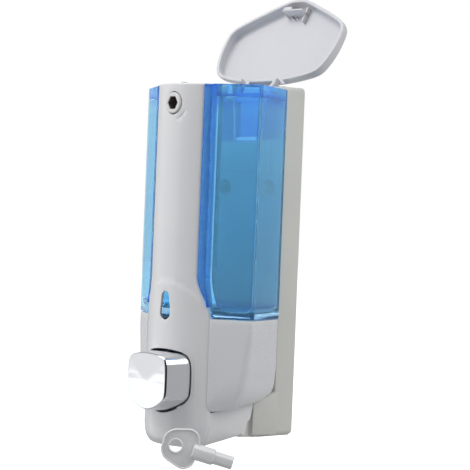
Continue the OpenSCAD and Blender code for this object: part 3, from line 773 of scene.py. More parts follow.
def containerPlan(h):
    c = containerSize
    t = ease((h - 70) / 25) if h < 95 else 1.0
    step = c["ridgeHalf"] - coverSize["columnHalf"]
    cx = max(flareHalf(h) + step * t, flareHalf(h) + 0.3) if h < 95 else c["ridgeHalf"]
    ridge = c["ridgeDepth"] - (cx - c["ridgeHalf"]) * 0.6
    return flat([(cx, c["channel"]), (cx, ridge), c["crease"], c["rear"],
                 (-c["rear"][0], c["rear"][1]), (-c["crease"][0], c["crease"][1]), (-cx, ridge),
                 (-cx, c["channel"])])


def containerRing(h, inset, soften=0.0):
    raw = containerPlan(h)
    raw.reverse()
    raw = insetPath(raw, inset)
    inner = inset > 1.2
    radii = [0.7, 0.7 if inner else 1.3, 1.3 if inner else 2.6, 1.2 if inner else 3.2,
             1.2 if inner else 3.2, 1.3 if inner else 2.6, 0.7 if inner else 1.3, 0.7]
    radii = [r + soften for r in reversed(radii)]
    return roundPath(raw, radii, 8)


def makeContainer():
    c = containerSize
    bm = bmesh.new()
    heights = [c["low"] + 1.2, *range(75, 98, 2), *range(101, 193, 4), 193, 196, 199.4]
    outer = [(c["low"], 1.2), (c["low"] + 0.15, 0.6), (c["low"] + 0.5, 0.2)]
    outer += [(h, 0.0) for h in heights] + [(199.85, 0.18), (200.0, 0.5)]
    thin = c["rebateWall"]
    inner = [(200.0, thin - 0.35), (199.8, thin - 0.05), (199.4, thin), (193.6, thin), (193.2, thin + 0.2),
             (193.0, c["wall"])]
    inner += [(h, c["wall"]) for h in (*range(189, 100, -4), *range(97, 80, -2))]
    floorTop = c["low"] + c["floor"]
    f = c["floorFillet"]
    inner += [(floorTop + f * (1 - math.sin(a)), c["wall"] + f * (1 - math.cos(a)))
              for a in [math.pi / 2 * k / 7 for k in range(8)]]
    rows = [[spot(p.x, p.y, h) for p in containerRing(h, e)] for h, e in outer]
    rows += [[spot(p.x, p.y, h) for p in containerRing(h, e, max(0.0, (e - c["wall"]) * 0.8))]
            for h, e in inner]
    made = loft(bm, rows)
    neck, bore = circle(0, portD, c["neck"], 48), circle(0, portD, c["neckBore"], 48)
    fillArea(bm, [containerRing(c["low"], 1.2), neck], lambda x, d: spot(x, d, c["low"]), (5, 5), (), 1.5)
    last = containerRing(floorTop, c["wall"] + f, f * 0.8)
    fillArea(bm, [last, bore], lambda x, d: spot(x, d, floorTop), (5, 5), (), 1.5)
    rows = [[spot(p.x, p.y, h) for p in circle(0, portD, r, 48)]
            for r, h in ((8.0, c["low"]), (8.0, c["neckLow"] + 0.4), (7.7, c["neckLow"]), (5.5, c["neckLow"]),
                         (5.3, c["neckLow"] + 0.2), (5.3, floorTop))]
    loft(bm, rows)
    shell = newObject("container_shell", bm, 0.03)

    def outlineSolid(points, back, front, name, radius=0.8):
        b = bmesh.new()
        path = roundPath(flat(points), radius, 4)
        rows = []
        for d, inset in ((back, 0.3), (back + 0.3, 0.0), (front - 0.05, 0.0), (front, 0.0)):
            rows.append([spot(p.x, d, p.y) for p in insetPath(path, inset)])
        made = loft(b, rows)
        b.faces.new(made[0])
        b.faces.new(made[-1])
        return newObject(name, b)

    strips = []
    for side in (-1, 1):  # the walls come forward beside the column
        b = bmesh.new()
        rows = []
        for h in [78, 80, 82, 84, 86, 88, 90, 92, 95, 97] + list(range(101, 198, 6)) + [199.4, 199.8]:
            near = flareHalf(h) + 0.3
            far = max(containerPlan(h)[0].x - 0.02, near + 0.15)
            front = crownDepth(near) - 0.45
            plan = flat([(near, 60.6), (near, front), (far, c["ridgeDepth"] - 0.15), (far, 60.6)])
            path = roundPath(plan, min(0.35, (far - near) * 0.3), 3)
            rows.append([spot(side * p.x, p.y, h) for p in path])
        made = loft(b, rows)
        b.faces.new(made[0])
        b.faces.new(made[-1])
        strips.append(newObject("strip" + str(side), b))
    parts = []
    web = outlineSolid([(-10, 172), (10, 172), (12.5, 194), (-12.5, 194)], 11.7, 16.7, "wedge_web")
    head = outlineSolid([(-13, 169), (13, 169), (15.5, 197), (-15.5, 197)], 9.8, 11.8, "wedge_head")
    hollow = outlineSolid([(-8, 174), (8, 174), (10.5, 199), (-10.5, 199)], 11.8, 16.1, "wedge_hollow", 0.6)
    for sideX in (-14.3, 14.3):
        b = bmesh.new()
        profile = [(16.8, 196.4), (16.8, 200.9)]
        for k in range(13):
            a = math.radians(60 + 150 * k / 12)
            profile.append((hingeD - 2.3 * math.cos(a), hingeH + 2.3 * math.sin(a)))
        profile += [(6.2, 199.2), (8.0, 197.0), (12.0, 196.2)]
        rows = [[spot(sideX + x, d, h) for d, h in profile] for x in (-1.9, 1.9)]
        made = loft(b, rows)
        b.faces.new(made[0])
        b.faces.new(made[-1])
        ear = newObject("ear" + str(sideX), b)
        step = ear.modifiers.new("edges", "BEVEL")
        step.width, step.segments, step.limit_method = 0.35 * mm, 2, "ANGLE"
        step.angle_limit = math.radians(50)
        settle(ear)
        parts.append(ear)
    bores = bmesh.new()
    rows = [[spot(x, p.x, p.y) for p in circle(hingeD, hingeH, 1.22, 24)] for x in (-20, 20)]
    made = loft(bores, rows)
    bores.faces.new(made[0])
    bores.faces.new(made[-1])
    pin = newObject("pin_bore", bores)
    for other, how in ((strips[0], "UNION"), (strips[1], "UNION"), (web, "UNION"), (head, "UNION"),
                       (hollow, "DIFFERENCE"), (parts[0], "UNION"), (parts[1], "UNION"),
                       (pin, "DIFFERENCE")):
        step = shell.modifiers.new("solid", "BOOLEAN")
        step.object, step.operation, step.solver = other, how, "EXACT"
        settle(shell)
        bpy.data.objects.remove(other)
    return dress(shell, finish["containerBlue"], "unit", ["container"], 30)


makeContainer()


# housing: a bowl that carries the container, open where the cover closes it

housingSize = {"top": 71.6, "ridge": (25.5, 63.5), "crease": (46.4, 51.1), "rear": (32.2, 16.2), "wall": 2.0}


def housingBottom(d):  # height of the underside
    return between([(16.2, 31.2), (18, 30.4), (29, 25.8), (38, 24.3), (48, 22.8), (60, 20.8), (64, 20.5)], d)


def housingPlan(ridge, crease, rear, end, ease1, ease2):  # right half, from the ridge round to the recess
    corners = flat([ridge, crease, rear, end])
    plan = [corners[0].lerp(corners[1], t / 14 * (1 - ease1)) for t in range(15)]
    a, b = corners[0].lerp(corners[1], 1 - ease1), corners[1].lerp(corners[2], ease1 * 0.66)
    for k in range(1, 10):
        t = k / 10
        plan.append(a * (1 - t) ** 2 + corners[1] * 2 * t * (1 - t) + b * t * t)
    c, d = corners[2].lerp(corners[1], 0.1), corners[2].lerp(corners[3], ease2)
    plan += [b.lerp(c, t / 13) for t in range(14)]
    for k in range(1, 9):
        t = k / 9
        plan.append(c * (1 - t) ** 2 + corners[2] * 2 * t * (1 - t) + d * t * t)
    return plan + [d.lerp(corners[3], t / 2) for t in range(3)]


def makeHousing():
    c = housingSize
    bm = bmesh.new()
    top = c["top"]
    upper = housingPlan(c["ridge"], c["crease"], c["rear"], (27.7, c["rear"][1]), 0.13, 0.7)
    middle = housingPlan(c["ridge"], (45.0, 51.7), c["rear"], (27.7, c["rear"][1]), 0.2, 0.7)
    lower = housingPlan(c["ridge"], (40.4, 54.6), (31.6, 17.4), (27.7, 17.2), 0.34, 0.7)
    under = housingPlan((25.5, 59.5), (31.5, 52.0), (30.3, 19.4), (27.7, 19.0), 0.34, 0.7)
    n = len(upper)

    def wallAt(i, h):  # the crease leans in and fades towards the bottom
        if h >= 47:
            return upper[i].lerp(middle[i], ease((66 - h) / 19))
        return middle[i].lerp(lower[i], ease((47 - h) / 22))

    def startOf(i):  # where the rounding to the underside begins
        p = upper[i]
        reach = ease((p.x - 25) / 15) if p.y > 45 else 1.0
        return (27.0 + 13.0
                * reach) if p.y > 45 else between([(16.2, 37.5), (30, 37.0), (45, 38.5), (51, 40.0)], p.y)

    rows = []
    for k in range(13):
        rows.append([])
        for i in range(n):
            h = top + (startOf(i) - top) * k / 12
            p = wallAt(i, h)
            rows[-1].append(spot(p.x, p.y, h))
    for k in range(1, 11):
        a = math.pi / 2 * k / 10
        rows.append([])
        for i in range(n):
            high = startOf(i)
            q = wallAt(i, high - (high - 24) * 0.5 * (1 - math.cos(a))).lerp(under[i], (1 - math.cos(a)))
            low = housingBottom(q.y)
            rows[-1].append(spot(q.x, q.y, low + (high - low) * (1 - math.sin(a))))
    last = []  # underside, in to the walls of the recess
    for i in range(n):
        q = rows[-1][i]
        x = min(q.x / mm, 25.5 if -q.y / mm > 36 else 27.7)
        last.append(spot(x, -q.y / mm, housingBottom(-q.y / mm)))
    rows.append(last)
    for mirrorSide in (1, -1):
        loft(bm, [[Vector((p.x * mirrorSide, p.y, p.z)) for p in row] for row in rows], False)
    skin = newObject("lower_housing_shell", bm, 0.03)
    centre = sum(((p.center - Vector((0, -0.04, p.center.z))).dot(p.normal)) * p.area
                 for p in skin.data.polygons)
    if centre < 0:
        skin.data.flip_normals()
    thick = skin.modifiers.new("wall", "SOLIDIFY")
    thick.thickness, thick.offset = c["wall"] * mm, -1
    edge = skin.modifiers.new("edges", "BEVEL")
    edge.width, edge.segments, edge.limit_method = 0.3 * mm, 2, "ANGLE"
    edge.angle_limit = math.radians(60)
    settle(skin)
    # deck with the hole for the outlet neck, recess for the bracket's foot, bottom and screw tabs
    bm = bmesh.new()
    addBlock(bm, (-28.4, 16.2, 37.2), (28.4, 18.2, 71.5), 0.3)
    deck = [Vector((-p.x, p.y))
            for p in upper] + [Vector((0, c["rear"][1]))] + [p.copy() for p in reversed(upper)]
    deck = insetPath(deck, 0.6)
    hole = circle(0, portD, 8.3, 48)
    for h in (top - 2.2, top - 0.02):
        fillArea(bm, [deck, hole], lambda x, d, h=h: spot(x, min(d, 57.0), h), (6, 6), (), 1.5)
    loft(bm, [[spot(p.x, p.y, h) for p in hole] for h in (top - 2.2, top - 0.02)])
    loft(bm, [[spot(p.x, min(p.y, 57.0), h) for p in deck] for h in (top - 2.2, top - 0.02)])
    for side in (-1, 1):
        xs = sorted((side * 27.7, side * 29.2))
        addBlock(bm, (xs[0], 18.5, 32.5), (xs[1], 37.8, 39.0), 0.4)
        xs = sorted((side * 5.4, side * 25.3))
        addBlock(bm, (xs[0], 36.6, 24.6), (xs[1], 56.6, 26.8), 0.4)
        xs = sorted((side * 25.5, side * 27.5))
        addBlock(bm, (xs[0], 46.0, 24.2), (xs[1], 61.8, 70.4), 0.4)
        for h in (30, 61):
            addBlock(bm, (side * 20.8 - 5, 54.5, h - 4.5), (side * 20.8 + 5, 56.5, h + 4.5), 0.5)
    addBlock(bm, (-29.4, 17.0, 37.0), (29.4, 38.4, 39.2), 0.5)
    addBlock(bm, (-29.4, 36.4, 27.4), (29.4, 38.4, 39.0), 0.5)
    extra = newObject("housing_extra", bm)
    joinMeshes(skin, extra)
    return dress(skin, finish["housingWhite"], "unit", ["lower_housing"], 40)


makeHousing()


# lid: built closed over the hinge, then swung open

lidSize = {"rim": -0.9, "top": 6.6, "wall": 2.0, "roundWide": 4.2, "roundTall": 4.4, "dome": 0.45,
           "ceiling": 4.5,
           "notch": 2.6, "open": 120.0}
lidHalf = [(0, 64.3), (5, 64.2), (10, 62.4), (15, 60.2), (28, 54.2), (39.5, 48.4), (44.6, 44.6), (46.7, 40.2),
           (46.8, 29),
           (44.8, 20), (41.6, 13.2), (37.6, 10.6), (32, 8.9), (24, 7.3), (17, 6.3), (16.7, 6.25), (11.9, 5.8),
           (11.6, 5.75),
           (0, 5.5)]


def makeLid():
    c = lidSize
    outline = softened(mirrored(lidHalf), 3)
    swing = Matrix.Rotation(math.radians(-c["open"]), 4, "X")
    hinge = spot(0, hingeD, hingeH)

    def place(x, v, w):
        return hinge + swing @ Vector((x * mm, -v * mm, w * mm))

    bm = bmesh.new()
    def rimPlace(p, w):  # the rim steps up where the ears of the hinge pass
        notch = c["notch"] if 11.9 < abs(p.x) < 16.7 and p.y < 12 else w
        return place(p.x, p.y, max(w, notch))

    rows = [(0.6, c["rim"]), (0.18, c["rim"] + 0.12), (0.0, c["rim"] + 0.5), (0.0, 0.6), (0.0, 1.7)]
    for k in range(9):
        a = math.pi / 2 * k / 8
        rows.append((c["roundWide"] * (1 - math.cos(a)),
                     c["top"] - c["dome"] - c["roundTall"] * (1 - math.sin(a))))
    loft(bm, [[rimPlace(p, w) for p in insetPath(outline, e)] for e, w in rows])
    rowsIn = [(0.6, c["rim"]), (c["wall"] - 0.3, c["rim"]), (c["wall"] - 0.05, c["rim"] + 0.2),
              (c["wall"], c["rim"] + 0.6)]
    for k in range(7):
        a = math.pi / 2 * k / 6
        rowsIn.append((c["wall"] + 1.8 * (1 - math.cos(a)), c["ceiling"] - 1.8 * (1 - math.sin(a))))
    loft(bm, [[rimPlace(p, w) for p in insetPath(outline, e)] for e, w in rowsIn])
    topEdge = insetPath(outline, c["roundWide"])
    sample = topEdge[::4]

    def domed(x, v):
        reach = min((Vector((x, v)) - q).length for q in sample)
        return place(x, v, c["top"] - c["dome"] + c["dome"] * ease(reach / 20))

    fillArea(bm, [topEdge], domed, (3.5, 3.5), (), 1.6)
    inEdge = insetPath(outline, c["wall"] + 1.8)
    fillArea(bm, [inEdge], lambda x, v: place(x, v, c["ceiling"]), (4.5, 4.5), (), 2.0)
    shell = newObject("lid_shell", bm, 0.03)

    def solid(low, high, r=0.25):  # box in the lid's own directions: x, distance from the hinge, up
        b = bmesh.new()
        addBlock(b, (low[0], low[1], low[2]), (high[0], high[1], high[2]), r)
        for v in b.verts:
            x, d, h = v.co.x / mm, -v.co.y / mm, (v.co.z - baseZ) / mm
            v.co = place(x, d, h)
        bmesh.ops.recalc_face_normals(b, faces=b.faces)
        return b

    camFront = 66.2
    at = camFront - hingeD
    lowEdge = 198.6 - hingeH
    blocks = [((-8.0, at - 3.5, 0.2), (-6.8, at + 1.9, 4.7)), ((6.8, at - 8.0, 1.4), (8.0, at + 1.9, 4.7)),
              ((-8.0, at - 2.9, lowEdge), (8.0, at - 1.9, 4.7)),
              ((-8.0, at - 2.6, lowEdge), (-1.4, at, -1.2)),
              ((-8.0, at - 2.6, lowEdge), (-6.8, at, 4.7))]
    parts = []
    for k, (low, high) in enumerate(blocks):
        b = solid(low, high)
        parts.append(newObject("latch" + str(k), b))
    for side in (-1, 1):  # lugs round the hinge pin
        b = bmesh.new()
        profile = []
        for k in range(15):
            a = math.radians(90 + 200 * k / 14)
            profile.append((2.3 * math.cos(a), 2.3 * math.sin(a)))
        profile += [(4.0, -0.9), (6.7, -0.9), (6.7, 2.3)]
        rows = [[place(side * 10.6 + x, v, w) for v, w in profile] for x in (-1.3, -1.25, 1.25, 1.3)]
        made = loft(b, rows)
        b.faces.new(made[0])
        b.faces.new(made[-1])
        parts.append(newObject("lug" + str(side), b))
    for shift in (0.0, 1.9):  # slanting ribs that stiffen the nose
        b = bmesh.new()
        run, across = Vector((0.79, -0.61)), Vector((0.61, 0.79))
        first = Vector((-10.6, 59.3)) + across * shift
        rows = []
        for along, w in ((0.0, 2.2), (4.0, 2.3), (9.0, 3.0), (13.5, 4.3)):
            m = first + run * along
            rows.append([place(*(m + across * k), v)
                         for k, v in ((-0.4, 4.7), (-0.4, w + 0.25), (-0.2, w), (0.2, w),
                                       (0.4, w + 0.25), (0.4, 4.7))])
        made = loft(b, rows)
        b.faces.new(made[0])
        b.faces.new(made[-1])
        parts.append(newObject("rib" + str(shift), b))
    joinMeshes(shell, *parts)
    return dress(shell, finish["lidWhite"], "lid", ["lid"], 40)


makeLid()


# bracket, with every moulded edge rounded

bracket = refined("wall_bracket", "wall_bracket_tray", 0.8)
fairing = bmesh.new()
for side in (-1, 1):  # the foot's sides widen towards the tray
    addPrism(fairing, [(side * x, d) for x, d in ((26.0, 28.9), (27.1, 28.9), (31.6, 14.0), (26.0, 14.0))],
             6.6,
             lambda d: between([(14, 31.0), (18, 29.7), (29, 25.0)], d), 0.7)
joinMeshes(bracket, newObject("foot_sides", fairing))
dress(bracket, finish["bracketWhite"], "bracket", ["wall_bracket"], 40)


# push button: chrome cap with a crowned face

buttonSize = {"face": 86.0, "edge": 1.3, "flare": 1.4, "skirtFrom": 70.0, "back": 66.0, "wall": 1.5,
              "crown": 0.35}


def makeButton():
    c = buttonSize
    bm = bmesh.new()
    rows = []
    for k in range(8):
        a = math.pi / 2 * k / 7  # 0 at the face, a right angle at the side
        rows.append((-c["edge"] * (1 - math.sin(a)), c["face"] - c["crown"] - c["edge"] * (1 - math.cos(a))))
    sideTop = c["face"] - c["crown"] - c["edge"]
    for d in (82, 79, 76, 73):
        rows.append((c["flare"] * (sideTop - d) / (sideTop - c["skirtFrom"]), d))
    rows += [(c["flare"], c["skirtFrom"]), (c["flare"], 67), (c["flare"] - 0.15, 66.1),
             (c["flare"] - 0.5, c["back"]),
             (c["flare"] - c["wall"], c["back"])]
    for d in (70, 76, 82):
        rows.append((c["flare"] * (sideTop - d) / (sideTop - c["skirtFrom"]) - c["wall"], d))
    rows.append((-c["wall"] - 1.0, sideTop - 0.8))
    loft(bm, [[spot(p.x, d, pumpH + p.y) for p in buttonPath(g)] for g, d in rows])
    edge = buttonPath(-c["edge"])
    sample = edge[::3]

    def crowned(x, h):
        reach = min((Vector((x, h)) - q).length for q in sample)
        return spot(x, c["face"] - c["crown"] + c["crown"] * ease(reach / 15), pumpH + h)

    fillArea(bm, [edge], crowned, (1.5, 1.5), (), 0.8)
    inner = buttonPath(-c["wall"] - 1.0)
    fillArea(bm, [inner], lambda x, h: spot(x, sideTop - 0.8, pumpH + h), (4, 4), (), 1.5)
    obj = newObject("push_button_cap", bm, 0.02)
    bm = bmesh.new()
    rows = [[spot(p.x, d, p.y) for p in circle(0, pumpH, r, 40)]
            for r, d in ((4.6, 84.2), (4.6, 77.3), (4.4, 77.0), (3.2, 77.0), (3.02, 77.2), (3.02, 83.0))]
    loft(bm, rows)
    joinMeshes(obj, newObject("rod_socket", bm))
    return dress(obj, finish["chrome"], "button", ["push_button"], 50)


makeButton()


# lock barrel with its six-sided socket

lockSize = {"radius": 5.8, "face": 74.3, "back": 66.2, "flats": 6.8, "deep": 5.5, "square": 5.0}


def makeLock():
    c = lockSize
    bm = bmesh.new()

    def hexPath(flats, n=8):
        r = flats / 2 / math.cos(math.radians(30))
        corners = [Vector((r * math.cos(math.radians(60 * i)), r * math.sin(math.radians(60 * i))))
                   for i in range(6)]
        return [corners[i].lerp(corners[(i + 1) % 6], k / n) for i in range(6) for k in range(n)]

    def row(path, d):
        return [spot(p.x, d, lockH + p.y) for p in path]

    full = circle(0, 0, 1.0, 48)
    big, face, flats = c["radius"], c["face"], c["flats"]
    rows = [row([p * r for p in full], d) for r, d in (
        (big - 0.8, c["back"]), (big - 0.8, 67.0), (big, 67.1), (big, face - 0.5), (big - 0.08, face - 0.25),
        (big - 0.3, face - 0.05), (big - 0.6, face), (big - 1.05, face))]
    rows += [row(hexPath(flats + 0.5), face - 0.02), row(hexPath(flats + 0.2), face - 0.2),
             row(hexPath(flats), face - 0.5), row(hexPath(flats), face - c["deep"] + 0.2),
             row(hexPath(flats - 0.5), face - c["deep"])]
    made = loft(bm, rows)
    bm.faces.new(made[-1])
    bm.faces.new(made[0])
    obj = newObject("lock_barrel_body", bm, 0.01)
    bm = bmesh.new()
    reach = c["square"] / 2
    addBlock(bm, (-reach, 64.6, lockH - reach), (reach, c["back"] + 0.2, lockH + reach), 0.2)
    joinMeshes(obj, newObject("lock_square", bm))
    return dress(obj, finish["lockWhite"], "lock", ["lock_barrel"], 35)


makeLock()


# key: flat bow with a raised rim, and a six-sided shank

keySize = {"at": (22.0, 77.3, 2.0), "turn": 45.5, "tip": 15.0, "rim": 1.5}


def makeKey():
    c = keySize
    frameTurn = Matrix.Rotation(math.radians(c["turn"]), 4, "Z") @ Matrix.Rotation(math.radians(c["tip"]), 4,
                                                                                   "Y")
    centre = spot(*c["at"])

    def place(u, v, w):  # along the shank, across it, and through the bow towards the front
        return centre + frameTurn @ Vector((u * mm, -w * mm, v * mm))

    bm = bmesh.new()
    bow = []
    for cx, cy, r, a0, a1 in ((2.2, 4.6, 6.6, -8, 98), (-3.2, 1.5, 8.0, 112, 172),
                              (-3.2, -1.5, 8.0, 188, 248),
                              (2.2, -4.6, 6.6, 262, 368)):
        for k in range(15):
            a = math.radians(a0 + (a1 - a0) * k / 14)
            bow.append(Vector((cx + r * math.cos(a), cy + r * math.sin(a))))
    n = len(bow)
    hole = circle(-3.6, 0, 3.3, n)
    rows = [(bow, 0.9, 0.9), (bow, 0.95, 1.15), (bow, 0.8, 1.38), (bow, 0.5, c["rim"]), (bow, 0.2, 1.32),
            (bow, 0.02, 1.0),
            (bow, 0.0, 0.6)]
    rows += [(p, e, -w) for p, e, w in reversed(rows)]
    loft(bm, [[place(p.x, p.y, w) for p in insetPath(path, e)] for path, e, w in rows])
    ringRows = [(0.9, 0.9), (0.75, 1.25), (0.45, 1.42), (0.12, 1.3), (0.0, 0.9)]
    ringRows += [(e, -w) for e, w in reversed(ringRows)]
    loft(bm, [[place(p.x, p.y, w) for p in insetPath(hole, -e)] for e, w in ringRows])
    for w in (0.9, -0.9):
        fillArea(bm, [insetPath(bow, 0.9), insetPath(hole, -0.9)], lambda x, y, w=w: place(x, y, w), (2, 2),
                 (), 0.8)
    obj = newObject("key_body", bm, 0.01)

    def hexRow(flats, u):
        r = flats / 2 / math.cos(math.radians(30))
        return [place(u, r * math.sin(math.radians(60 * i + 30)), r * math.cos(math.radians(60 * i + 30)))
                for i in range(6)]

    shank = bmesh.new()
    rows = [hexRow(6.6, 6.0), hexRow(7.8, 6.15), hexRow(8.0, 6.5), hexRow(8.0, 17.2), hexRow(7.7, 17.8),
            hexRow(6.6, 18.1), hexRow(6.5, 18.5), hexRow(6.5, 28.0), hexRow(6.1, 28.5), hexRow(5.2, 28.8)]
    made = loft(shank, rows)
    shank.faces.new(made[0])
    shank.faces.new(made[-1])
    rod = newObject("key_shank", shank, 0.01)
    edge = rod.modifiers.new("edges", "BEVEL")
    edge.width, edge.segments, edge.limit_method = 0.25 * mm, 2, "ANGLE"
    edge.angle_limit = math.radians(35)
    settle(rod)
    joinMeshes(obj, rod)
    return dress(obj, finish["keyClear"], "key", ["key"], 40)


makeKey()


# geometry nodes: return spring and screws

def socketId(tree, name):
    return next(i.identifier for i in tree.interface.items_tree if i.name == name and i.in_out == "INPUT")


def gnTree(name, inputs):
    tree = bpy.data.node_groups.new(name, "GeometryNodeTree")
    tree.interface.new_socket(name="Geometry", in_out="INPUT", socket_type="NodeSocketGeometry")
    for label, value in inputs:
        kind = "NodeSocketInt" if isinstance(value, int) else "NodeSocketFloat"
        tree.interface.new_socket(name=label, in_out="INPUT", socket_type=kind).default_value = value
    tree.interface.new_socket(name="Geometry", in_out="OUTPUT", socket_type="NodeSocketGeometry")
    return tree, tree.nodes.new("NodeGroupInput"), tree.nodes.new("NodeGroupOutput")


def closeTree(tree, source, end, material):
    real = node(tree, "GeometryNodeRealizeInstances", [(source, "Geometry")])
    paint = node(tree, "GeometryNodeSetMaterial", [(real.outputs[0], "Geometry")])
    paint.inputs["Material"].default_value = material
    tree.links.new(paint.outputs[0], end.inputs["Geometry"])


def growFrom(name, tree, points, values):
    mesh = bpy.data.meshes.new(name)
    mesh.from_pydata(points, [], [])
    obj = bpy.data.objects.new(name, mesh)
    bpy.context.scene.collection.objects.link(obj)
    step = obj.modifiers.new("grow", "NODES")
    step.node_group = tree
    for label, value in values.items():
        step[socketId(tree, label)] = value
    return settle(obj)


springSize = {"Turns": 6.5, "Coil Radius": 6.1 * mm, "Wire Radius": 0.6 * mm, "Length": 17.4 * mm}


def makeSpring():
    tree, start, end = gnTree("coilSpring", list(springSize.items()))
    spiral = node(tree, "GeometryNodeCurveSpiral", [(start.outputs["Turns"], "Rotations"),
                                                    (start.outputs["Coil Radius"], "Start Radius"),
                                                    (start.outputs["Coil Radius"], "End Radius"),
                                                    (start.outputs["Length"], "Height")])
    spiral.inputs["Resolution"].default_value = 40
    wire = node(tree, "GeometryNodeCurvePrimitiveCircle", [(start.outputs["Wire Radius"], "Radius")])
    wire.inputs["Resolution"].default_value = 12
    tube = node(tree, "GeometryNodeCurveToMesh",
                [(spiral.outputs[0], "Curve"), (wire.outputs[0], "Profile Curve")])
    tube.inputs["Fill Caps"].default_value = True
    turned = node(tree, "GeometryNodeTransform", [(tube.outputs[0], "Geometry")])
    turned.inputs["Rotation"].default_value = (math.radians(90), 0, 0)
    turned.inputs["Translation"].default_value = spot(0, 65.8, pumpH)
    closeTree(tree, turned.outputs[0], end, finish["zincSteel"])
    obj = growFrom("return_spring_coil", tree, [(0, 0, 0)], springSize)
    dress(obj, finish["zincSteel"], "button", ["return_spring"], 50)
    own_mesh(obj)
    return obj


makeSpring()


screwSize = {"Head Radius": 2.8 * mm, "Head Height": 1.6 * mm, "Shank Radius": 1.3 * mm,
             "Shank Length": 9.0 * mm,
             "Slot Width": 0.7 * mm}


def makeScrews(name, places, towards, body, nodeName, values):
    tree, start, end = gnTree(name + "Tree", list(screwSize.items()))
    head = node(tree, "GeometryNodeMeshCylinder", [(start.outputs["Head Radius"], "Radius"),
                                                   (start.outputs["Head Height"], "Depth")])
    head.inputs["Vertices"].default_value = 32
    lift = node(tree, "ShaderNodeMath", [(start.outputs["Head Height"], 0)], operation="MULTIPLY")
    lift.inputs[1].default_value = 0.5
    up = node(tree, "ShaderNodeCombineXYZ", [(lift.outputs[0], "Z")])
    headUp = node(tree, "GeometryNodeTransform",
                  [(head.outputs[0], "Geometry"), (up.outputs[0], "Translation")])
    top = node(tree, "ShaderNodeCombineXYZ", [(start.outputs["Head Height"], "Z")])
    length = node(tree, "ShaderNodeMath", [(start.outputs["Head Radius"], 0)], operation="MULTIPLY")
    length.inputs[1].default_value = 1.2
    cuts = []
    for turned in (0, 1):
        size = node(tree, "ShaderNodeCombineXYZ")
        tree.links.new(length.outputs[0], size.inputs[turned])
        tree.links.new(start.outputs["Slot Width"], size.inputs[1 - turned])
        tree.links.new(start.outputs["Head Height"], size.inputs[2])
        bar = node(tree, "GeometryNodeMeshCube", [(size.outputs[0], "Size")])
        moved = node(tree, "GeometryNodeTransform",
                     [(bar.outputs[0], "Geometry"), (top.outputs[0], "Translation")])
        cuts.append(moved.outputs[0])
    carve = node(tree, "GeometryNodeMeshBoolean", operation="DIFFERENCE")
    tree.links.new(headUp.outputs[0], carve.inputs["Mesh 1"])
    for cut in cuts:
        tree.links.new(cut, carve.inputs["Mesh 2"])
    shank = node(tree, "GeometryNodeMeshCone", [(start.outputs["Shank Radius"], "Radius Bottom"),
                                                (start.outputs["Shank Length"], "Depth")])
    shank.inputs["Radius Top"].default_value = 0.0006
    shank.inputs["Vertices"].default_value = 20
    flip = node(tree, "GeometryNodeTransform", [(shank.outputs[0], "Geometry")])
    flip.inputs["Rotation"].default_value = (math.pi, 0, 0)
    both = node(tree, "GeometryNodeJoinGeometry")
    tree.links.new(carve.outputs[0], both.inputs[0])
    tree.links.new(flip.outputs[0], both.inputs[0])
    put = node(tree, "GeometryNodeInstanceOnPoints",
               [(start.outputs["Geometry"], "Points"), (both.outputs[0], "Instance")])
    put.inputs["Rotation"].default_value = (math.radians(90 if towards < 0 else -90), 0, 0)
    closeTree(tree, put.outputs[0], end, finish["zincSteel"])
    obj = growFrom(name, tree, places, values)
    return dress(obj, finish["zincSteel"], body, [nodeName], 40)


makeScrews("cover_screw_set", [spot(x, 54.5, h) for x in (-20.8, 20.8) for h in (30, 61)], 1, "unit",
           "cover_screws",
           screwSize)
makeScrews("pump_screw_set", [spot(x, 42.8, pumpH - 4) for x in (-16.5, 16.5)], -1, "unit", "pump_screws",
           dict(screwSize, **{"Shank Radius": 1.5 * mm, "Shank Length": 5.6 * mm}))


# inner parts keep their CAD shape and get their own finishes

innerFinish = {"hinge_pin": "zincSteel", "lock_clip": "zincSteel", "lock_cam": "zincSteel",
               "cam_screw": "zincSteel",
               "plunger_rod": "pumpWhite", "piston": "pumpWhite", "piston_seal": "rubberBlack",
               "pump_barrel": "pumpWhite",
               "pump_cap": "pumpWhite", "valve_cage": "pumpWhite", "inlet_ball": "zincSteel",
               "outlet_valve": "silicone",
               "nozzle": "pumpWhite", "outlet_gasket": "rubberBlack", "outlet_nut": "pumpWhite"}
for nodeName, look in innerFinish.items():
    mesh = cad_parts[nodeName].data
    for i in range(max(1, len(mesh.materials))):
        if i < len(mesh.materials):
            mesh.materials[i] = finish[look]
        else:
            mesh.materials.append(finish[look])
print("inner parts painted")


# camera, lights, floor

viewSize = {"azimuth": 45.61, "elevation": 0.27, "roll": 2.283, "lens": 140.77,
            "at": (748.76, -755.08, 22.67)}


def makeCamera():
    v = viewSize
    a, e, r = math.radians(v["azimuth"]), math.radians(v["elevation"]), math.radians(v["roll"])
    back = Vector((math.sin(a) * math.cos(e), -math.cos(a) * math.cos(e), math.sin(e)))
    right = Vector((math.cos(a), math.sin(a), 0))
    up = back.cross(right)
    turnedRight = right * math.cos(r) + up * math.sin(r)
    turnedUp = -right * math.sin(r) + up * math.cos(r)
    data = bpy.data.cameras.new("camera")
    data.lens, data.sensor_width = v["lens"], 36.0
    data.clip_start, data.clip_end = 0.05, 60.0
    cam = bpy.data.objects.new("camera", data)
    bpy.context.scene.collection.objects.link(cam)
    turn = Matrix((turnedRight, turnedUp, back)).transposed().to_4x4()
    cam.matrix_world = Matrix.Translation(Vector(v["at"]) * mm) @ turn
    bpy.context.scene.camera = cam
    return back


towardsCamera = makeCamera()


